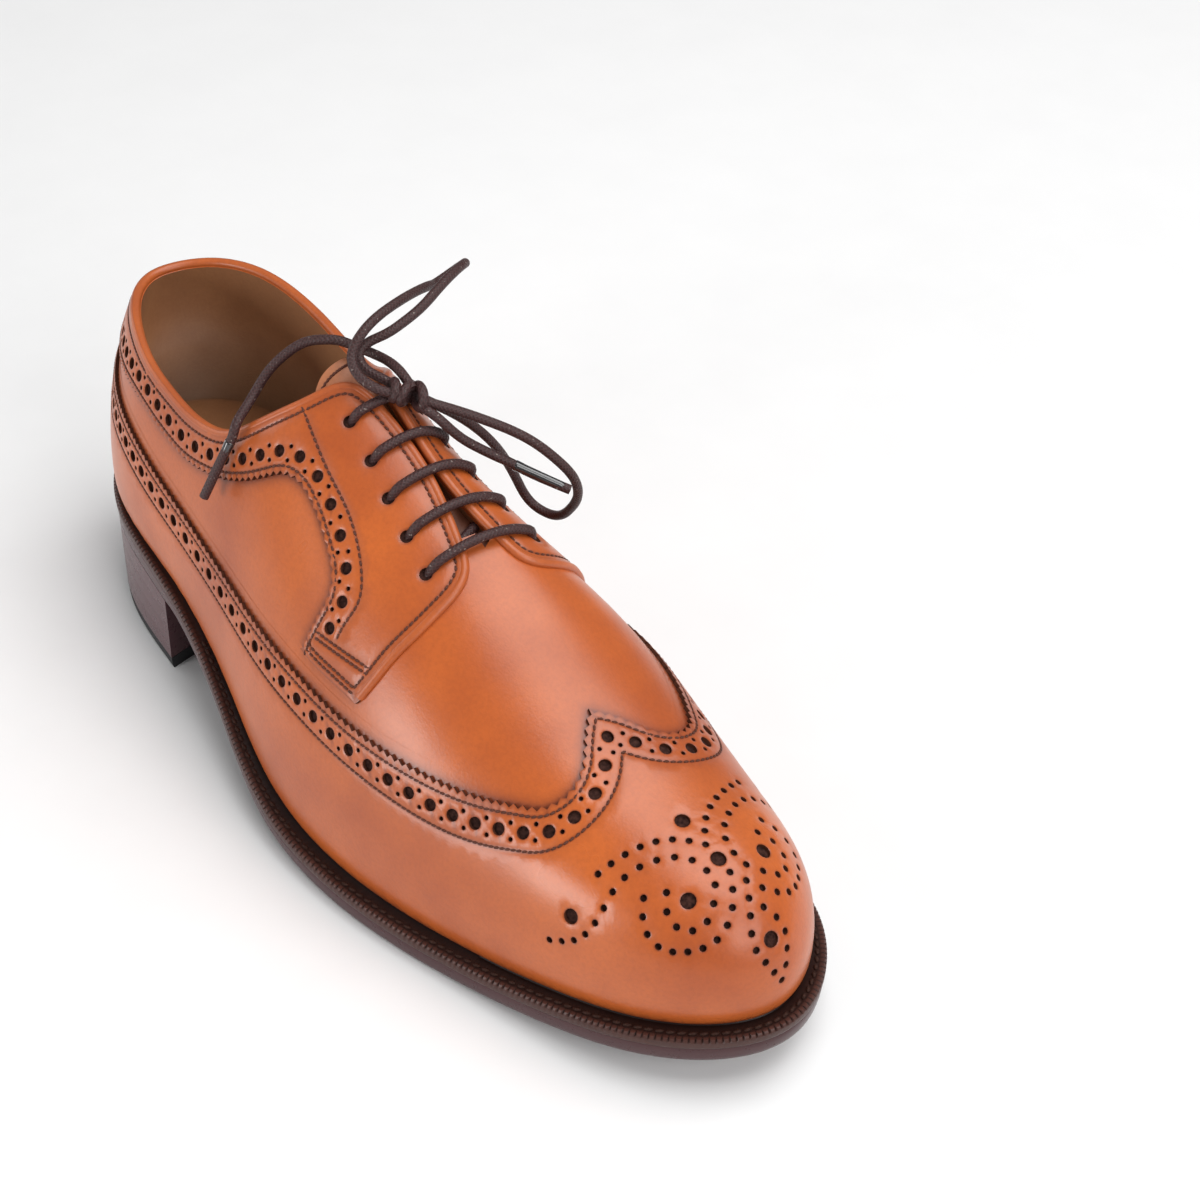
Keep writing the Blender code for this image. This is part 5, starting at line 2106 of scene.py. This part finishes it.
@dataclass
class Bottom:
    """Outsole, welt, insole, heel stack and top piece."""

    last: Last
    sewing: Stitching
    columns: int = 420
    samples: int = 6001
    middle_ends: float = 12.0
    shares: tuple = (1.0, 0.75, 0.5, 0.25, 0.08)
    flush_reach: float = 8.0
    flush_level: float = 2.5
    flush_least: float = 0.1
    sole_edge: Table = Table(
        ("margin", "level"),
        (
            (-1.6, 0.0), (-0.7, 0.25), (-0.25, 0.9), (-0.05, 2.0), (-0.05, 3.4), (-0.1, 4.8),
            (-0.35, OUTSOLE_THICKNESS),
        ),
    )
    sock_edge: Table = Table(
        ("margin", "level"),
        ((-6.5, OUTSOLE_THICKNESS + 0.3), (-3.0, FEATHER_LEVEL), (-2.2, FEATHER_LEVEL + 2.0)),
    )
    # The dark column is painted shade in the channel and along the joins with the sole and the upper
    welt_edge: Table = Table(
        ("margin", "level", "notch", "dark", "from_sole"),
        (
            (-6.0, OUTSOLE_THICKNESS, 0.0, 1.0, False),
            (-0.25, OUTSOLE_THICKNESS, 0.0, 0.8, True),
            (0.2, OUTSOLE_THICKNESS + 0.3, 0.0, 0.3, True),
            (0.35, OUTSOLE_THICKNESS + 0.9, 0.0, 0.2, True),
            (0.35, WELT_TOP - 0.9, 0.2, 0.2, True),
            (0.25, WELT_TOP - 0.45, 1.0, 0.1, True),
            (-0.25, WELT_TOP + 0.05, 1.0, 0.0, True),
            (-1.1, WELT_TOP + 0.05, 0.8, 0.3, True),
            (-1.5, WELT_TOP - 0.05, 0.0, 0.8, True),
            (0.35, WELT_TOP + 0.05, 0.0, 1.0, False),
            (-0.4, WELT_TOP + 0.75, 0.0, 1.0, False),
            (-6.0, WELT_TOP + 0.2, 0.0, 1.0, False),
        ),
    )
    notch_pitch: float = 1.7
    notch_depth: float = 0.6
    notch_steps: int = 4
    stitch_margin: float = -2.3
    stitch_rise: float = 0.12
    stitches_around: int = 233
    stitch_size: float = 1.5
    stitch_from_x: float = 92.0
    way_reach: float = 0.0005
    breast_x: float = 69.0
    breast_hollow: float = 4.0
    side_steps: int = 40
    breast_steps: int = 16
    heel_middle: tuple = (30.0, -2.0)
    stack_margin: float = 0.5
    stack_foot: float = 4.15
    seat_margin: float = -0.05
    lifts: int = 4
    lift_edge: float = 0.05
    joint: float = 0.02
    top_piece_edge: Table = Table(
        ("margin", "level"), ((-0.1, 0.0), (0.2, 0.35), (0.4, 1.0), (0.5, 3.6), (0.25, 4.0))
    )

    def around(self) -> tuple[Array, Array]:
        """Close places round the sole's edge, and their distances along it."""
        fine = np.linspace(0.0, 1.0, self.samples)
        return fine, running_length(self.last.ring(fine, 0.0, 0.0))

    def even_travels(self, count: int) -> Array:
        """Places at a count of even distances round the sole's edge."""
        fine, length = self.around()
        return np.interp(np.linspace(0.0, length[-1], count + 1), length, fine)

    def drawn_in(self, ring: Array, share: float, level: float) -> Array:
        """Draws a ring in towards the sole's middle line.

        Args:
            ring: The ring.
            share: Share of the way.
            level: Height above the outsole's underside.

        Returns:
            The new ring.
        """
        x = np.clip(ring[:, 0], ring[:, 0].min() + self.middle_ends, ring[:, 0].max() - self.middle_ends)
        side = np.interp(x, SOLE_MIDDLE.column("x"), SOLE_MIDDLE.column("side"))
        place = ring[:, :2] + (np.column_stack([x, side]) - ring[:, :2]) * share
        return np.column_stack([place, self.last.underside(place[:, 0]) + level])

    def loft(self, rings: Sequence[Array], marks: Sequence[Array] = ()) -> Shape:
        """Lays a skin through rings, joined at the heel.

        Args:
            rings: Rings in order.
            marks: How dark each point of each ring is, if that changes.

        Returns:
            The skin.
        """
        shape = bmesh.new()
        add_sheet(shape, np.stack(rings, 1), np.stack(marks, 1) if marks else None)
        bmesh.ops.remove_doubles(shape, verts=shape.verts, dist=WELD)
        bmesh.ops.dissolve_degenerate(shape, dist=WELD, edges=shape.edges)
        bmesh.ops.recalc_face_normals(shape, faces=shape.faces)
        return shape

    def layer(self, steps: Table, from_sole: bool) -> Shape:
        """Builds a closed layer: its underside drawn in, its edge, and its top drawn in.

        Args:
            steps: Steps of the edge; low ones stand flush over the heel.
            from_sole: Whether their margins count from the sole's edge.

        Returns:
            The layer.
        """
        travel = self.even_travels(self.columns)
        ahead = self.last.outline(travel)[:, 0] - self.breast_x
        rounded = np.clip(self.flush_least + ahead / self.flush_reach, self.flush_least, 1.0)
        edge = []
        for margin, level in steps.rows:
            reach = margin * (rounded if level < self.flush_level else 1.0)
            edge.append(self.last.ring(travel, reach, level, from_sole))
        low, *_, high = steps.column("level")
        under = [self.drawn_in(edge[0], share, low) for share in self.shares]
        over = [self.drawn_in(edge[-1], share, high) for share in reversed(self.shares)]
        return self.loft(under + edge + over)

    def welt(self) -> Shape:
        """Builds the welt with its wheeled rim, and painted shade in its notches, its channel and its joins
        with the sole and the upper.

        Returns:
            The welt.
        """
        notches = int(round(self.around()[1][-1] / self.notch_pitch))
        travel = self.even_travels(notches * self.notch_steps)
        cut = np.where(np.arange(len(travel)) % self.notch_steps == 0, 1.0, 0.0)
        rings = []
        marks = []
        steps = self.welt_edge.rows
        for margin, level, notch, dark, from_sole in steps + steps[:1]:
            reach = margin - cut * notch * self.notch_depth
            rings.append(self.last.ring(travel, reach, level, from_sole))
            # Painted shade in the notches, the channel and the joins
            marks.append(np.maximum(dark, cut * notch))
        return self.loft(rings, marks)

    def welt_stitches(self) -> None:
        """Sews the welt's top, where the welt is broad enough."""
        spots = self.even_travels(self.stitches_around)[:-1]
        spots = spots[self.last.outline(spots)[:, 0] > self.stitch_from_x]
        points = self.last.ring(spots, self.stitch_margin, WELT_TOP + self.stitch_rise)
        ahead = self.last.ring(spots + self.way_reach, self.stitch_margin, WELT_TOP)
        ways = unit(ahead - self.last.ring(spots - self.way_reach, self.stitch_margin, WELT_TOP))
        up = np.broadcast_to((0.0, 0.0, 1.0), ways.shape)
        self.sewing.add(points, ways, square_to(up, ways), self.stitch_size)

    def heel_ring(self, margin: float, height: float | None = None) -> Array:
        """Draws a ring of the heel round its back and its hollow breast.

        Args:
            margin: Distance out from the sole's edge.
            height: Height above the floor, or none for the underside of the seat.

        Returns:
            The ring.
        """
        stations = self.breast_x * np.linspace(0.0, 1.0, self.side_steps) ** 2
        lateral = self.last.ring(self.last.travel_at(stations, Side.LATERAL), margin, 0.0)
        medial = self.last.ring(self.last.travel_at(stations[:0:-1], Side.MEDIAL), margin, 0.0)
        share = np.linspace(0.0, 1.0, self.breast_steps + 2)[1:-1, None]
        breast = lateral[-1] * (1.0 - share) + medial[0] * share
        breast[:, 0] -= 4.0 * self.breast_hollow * (share * (1.0 - share))[:, 0]
        ring = np.vstack([lateral, breast, medial, lateral[:1]])
        ring[:, 2] = self.last.underside(ring[:, 0]) if height is None else height
        return ring

    def capped(self, rings: Sequence[Array]) -> Shape:
        """Builds a solid through rings of the heel.

        Args:
            rings: Rings in order.

        Returns:
            The solid, closed at both ends.
        """
        shape = self.loft(rings)
        bmesh.ops.holes_fill(shape, edges=open_edges(shape), sides=0)
        bmesh.ops.triangulate(shape, faces=[face for face in shape.faces if len(face.verts) > 4])
        bmesh.ops.recalc_face_normals(shape, faces=shape.faces)
        return shape

    def heel_stack(self) -> Shape:
        """Builds the leather lifts with their fine joints.

        Returns:
            The stack.
        """
        low = self.heel_ring(self.stack_margin, self.stack_foot)
        seat = self.heel_ring(self.seat_margin)
        steps = ((0.0, self.joint), (self.lift_edge, 0.0), (1.0 - self.lift_edge, 0.0), (1.0, self.joint))
        rings = []
        for lift in range(self.lifts):
            for step, dip in steps:
                share = (lift + step) / self.lifts
                ring = low * (1.0 - share) + seat * share
                ring[:, :2] += unit(np.array(self.heel_middle) - ring[:, :2]) * dip
                rings.append(ring)
        return self.capped(rings)

    def build(self) -> None:
        """Builds all layers and sews the welt."""
        sole = self.layer(self.sole_edge, True)
        add_piece("outsole_dressed", sole, [Finishes.SOLE], ["outsole"])
        add_piece("welt_dressed", self.welt(), [Finishes.WELT], ["welt"])
        self.welt_stitches()
        sock = self.layer(self.sock_edge, False)
        add_piece("insole_dressed", sock, [Finishes.SOCK], ["insole"])
        add_piece("heel_stack_dressed", self.heel_stack(), [Finishes.HEEL], ["heel_stack"])
        top_piece = self.capped([self.heel_ring(*step) for step in self.top_piece_edge.rows])
        add_piece("heel_top_dressed", top_piece, [Finishes.RUBBER], ["heel_top_piece"])


@dataclass(frozen=True)
class Crossing:
    """How the lace crosses the throat: steps, share of the way that it climbs in, and heights."""

    steps: int
    climb: float
    start: float
    level: float
    arch: float = 0.0


@dataclass
class Lace:
    """Lace bars over the throat, and the bow with its knot, loops, ends and tips."""

    last: Last
    diameter: float = 2.7
    spacing: float = 1.0
    bar: Crossing = Crossing(21, 0.12, -1.2, 2.7, 0.4)
    inner_run: Crossing = Crossing(15, 0.15, -1.0, -3.3)
    wraps: Table = Table(
        ("along", "width", "height", "lean"),
        ((2.2, 3.0, 2.7, 1.4), (-1.4, 2.8, 2.5, -1.0), (-4.6, 2.4, 2.0, 0.6)),
    )
    wrap_steps: int = 48
    tip_sides: int = 14
    tip_form: Table = Table(
        ("share", "radius"),
        (
            (0.0, 1.36), (0.01, 1.5), (0.04, 1.5), (0.2, 1.36), (0.5, 1.3), (0.8, 1.28), (0.93, 1.2),
            (0.98, 0.9), (1.0, 0.25),
        ),
    )

    def bow(self) -> None:
        """Builds the bow: knot, loops, ends and tips."""
        knot = self.knot()
        for number, route in enumerate((LOOP_1, LOOP_2), start=1):
            self.cord(f"lace_loop_{number}", route)
        for number, (route, tip) in enumerate(((END_1, AGLET_1), (END_2, AGLET_2)), start=1):
            piece = self.tip(f"aglet_{number}", tip)
            self.cord(f"lace_end_{number}", route + tip)

    def cord(self, name: str, route: Sequence) -> None:
        """Builds a free stretch of the lace.

        Args:
            name: Name of the solid that it stands for.
            route: Points that it follows, from inside the knot.
        """
        points = smooth_points(route, self.spacing)
        piece = self.stretch(name + "_dressed", points, [name])

    def stretch(self, name: str, points: Array, stands_for: Sequence[str] = ()) -> bpy.types.Object:
        """A piece of the lace along even points, which may stand for solids."""
        return add_piece(name, tube(points, self.diameter / 2.0), [Finishes.LACE], stands_for)

    def knot(self) -> bpy.types.Object:
        """Builds the knot: tight turns of lace round the strands of the bow.

        Returns:
            The knot.
        """
        strand = unit(np.array(LOOP_2[1]) - np.array(LOOP_1[1]))
        beside = unit(np.cross(strand, (0.0, 0.0, 1.0)))
        above = np.cross(beside, strand)
        angle = np.linspace(0.0, 2.0 * math.pi, self.wrap_steps + 1)[:-1]
        shape = bmesh.new()
        for along, width, height, lean in self.wraps.rows:
            points = np.outer(np.cos(angle), beside) * width + np.outer(np.sin(angle), above) * height
            points += np.outer(along + lean * np.cos(angle), strand) + np.array(KNOT_CENTRE)
            tube(points, self.diameter / 2.0, closed=True, shape=shape)
        return add_piece("lace_knot_dressed", shape, [Finishes.LACE], ["lace_knot"])

    def tip(self, name: str, ends: tuple) -> bpy.types.Object:
        """Builds a shrunk tip on an end of the lace.

        Args:
            name: Name of the solid that it stands for.
            ends: Its two ends.

        Returns:
            The tip.
        """
        start, finish = np.array(ends)
        points = start + (finish - start) * self.tip_form.column("share")[:, None]
        shape = tube(points, self.tip_form.column("radius"), self.tip_sides)
        return add_piece(name + "_dressed", shape, [Finishes.CAP], [name])

    def across(self, lateral: int, medial: int, crossing: Crossing) -> Array:
        """Draws the lace from an eyelet of one side to an eyelet of the other.

        Args:
            lateral: Row of the lateral eyelet.
            medial: Row of the medial eyelet.
            crossing: How it crosses.

        Returns:
            Even points.
        """
        lateral_x, lateral_rise, _, _ = EYELETS.rows[lateral]
        _, _, medial_x, medial_rise = EYELETS.rows[medial]
        share = np.linspace(0.0, 1.0, crossing.steps)
        turn = lateral_rise - 1.0 + (2.0 - lateral_rise - medial_rise) * share
        travel, rise = self.last.crossing(lateral_x + (medial_x - lateral_x) * share, turn)
        climb = np.sin(faded(np.minimum(share, 1.0 - share), 0.0, crossing.climb) * math.pi / 2.0)
        level = crossing.level + crossing.arch * np.sin(math.pi * share)
        height = crossing.start + (level - crossing.start) * climb
        return smooth_points(self.last.surface(travel, rise, height), self.spacing)

    def bars(self) -> None:
        """Builds the bars, and the run inside that shows between the lowest two.

        The top bar stands for the two solids beside the knot.
        """
        count = len(EYELETS.rows)
        for number in range(1, count + 1):
            nodes = [f"lace_bar_{number}"]
            if number == 1:
                nodes = ["lace_bar_1_lateral", "lace_bar_1_medial"]
            self.stretch(f"lace_bar_{number}_dressed", self.across(number - 1, number - 1, self.bar), nodes)
        self.stretch("lace_inner_run", self.across(count - 1, count - 2, self.inner_run))

    def build(self) -> None:
        """Builds the bow and then the bars."""
        self.bow()
        self.bars()


@dataclass(frozen=True)
class Lamp:
    """A soft square lamp that faces a point."""

    name: str
    place: tuple
    aim: tuple
    size: float
    power: float

    def build(self) -> None:
        """Hangs the lamp."""
        data = bpy.data.lights.new(self.name, "AREA")
        data.shape = "SQUARE"
        data.size = self.size
        data.energy = self.power
        lamp = bpy.data.objects.new(self.name, data)
        turn = (Vector(self.aim) - Vector(self.place)).to_track_quat("-Z", "Y")
        lamp.matrix_world = Matrix.Translation(self.place) @ turn.to_matrix().to_4x4()
        bpy.context.scene.collection.objects.link(lamp)


@dataclass
class Studio:
    """Floor, soft light and the camera."""

    azimuth: float = 51.08
    elevation: float = 41.25
    roll: float = 1.05
    distance: float = 628.01
    aim: tuple = (145.0, 0.0, 45.0)
    shift_right: float = 48.86
    shift_up: float = 10.48
    focal_pixels: float = 2270.93
    image_pixels: float = 1200.0
    sensor: float = 36.0
    clip_start: float = 0.01
    floor_half: float = 4.0
    floor_steps: int = 4
    surround: float = 0.22
    lamps: tuple = (
        Lamp("overhead", (0.3, 0.4, 1.35), (0.05, 0.0, 0.0), 1.2, 18.0),
        Lamp("side", (-0.05, -1.15, 0.28), (0.05, 0.0, 0.08), 0.45, 5.2),
        Lamp("front", (1.5, 0.0, 0.9), (0.1, 0.0, 0.05), 1.0, 12.0),
        Lamp("rear", (-1.3, -0.7, 0.4), (0.0, 0.0, 0.05), 0.9, 4.0),
    )

    def camera(self) -> None:
        """Sets the camera at the photograph's angle."""
        angles = (self.azimuth, self.elevation, self.roll)
        azimuth, elevation, roll = (math.radians(angle) for angle in angles)
        right = np.array([math.cos(azimuth), math.sin(azimuth), 0.0])
        ahead = np.array([math.sin(azimuth), -math.cos(azimuth), 0.0])
        back = ahead * math.cos(elevation) + np.array([0.0, 0.0, math.sin(elevation)])
        up = np.cross(back, right)
        turned_right = math.cos(roll) * right + math.sin(roll) * up
        turned_up = -math.sin(roll) * right + math.cos(roll) * up
        eye = np.array(self.aim) + back * self.distance
        eye += turned_right * self.shift_right + turned_up * self.shift_up
        data = bpy.data.cameras.new("camera")
        data.sensor_width = self.sensor
        data.lens = self.focal_pixels / self.image_pixels * self.sensor
        data.clip_start = self.clip_start
        camera = bpy.data.objects.new("camera", data)
        camera.matrix_world = axes_matrix((turned_right, turned_up, back), placed(eye))
        bpy.context.scene.collection.objects.link(camera)
        bpy.context.scene.camera = camera

    def floor(self) -> None:
        """Lays a plain pale floor."""
        shape = bmesh.new()
        steps = self.floor_steps
        bmesh.ops.create_grid(shape, x_segments=steps, y_segments=steps, size=self.floor_half)
        floor = linked("floor", shape, [Finishes.FLOOR], SMOOTH_ANGLE)

    def light(self) -> None:
        """Hangs soft light above and on both sides, in a pale surround."""
        for lamp in self.lamps:
            lamp.build()
        world = bpy.data.worlds.new("surround")
        world.use_nodes = True
        backdrop = world.node_tree.nodes["Background"]
        backdrop.inputs["Color"].default_value = (1.0, 1.0, 1.0, 1.0)
        backdrop.inputs["Strength"].default_value = self.surround
        bpy.context.scene.world = world
        bpy.context.scene.view_settings.view_transform = "Standard"

    def build(self) -> None:
        """Sets up the studio."""
        self.camera()
        self.floor()
        self.light()


def main() -> None:
    """Builds the shoe's pieces in order."""
    logging.basicConfig(level=logging.INFO, format="%(message)s")
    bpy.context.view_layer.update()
    last = Last()
    pattern = Pattern(last)
    sewing = Stitching(pattern)
    Studio().build()
    Lace(last).build()
    Upper(last).build()
    Wing(pattern, sewing).build()
    sewing.piece("wing_stitches", Finishes.THREAD, Slot.LACE)
    for side in Side:
        Facing(pattern, sewing, side=side).build()
        sewing.piece(f"facing_{side.value}_stitches", Finishes.THREAD, Slot.LACE)
    Tongue(last, sewing).build()
    sewing.piece("tongue_stitches", Finishes.THREAD, Slot.LACE)
    Bottom(last, sewing).build()
    sewing.piece("welt_stitches", Finishes.WELT_THREAD, Slot.WELT)


if __name__ == "__main__":
    main()
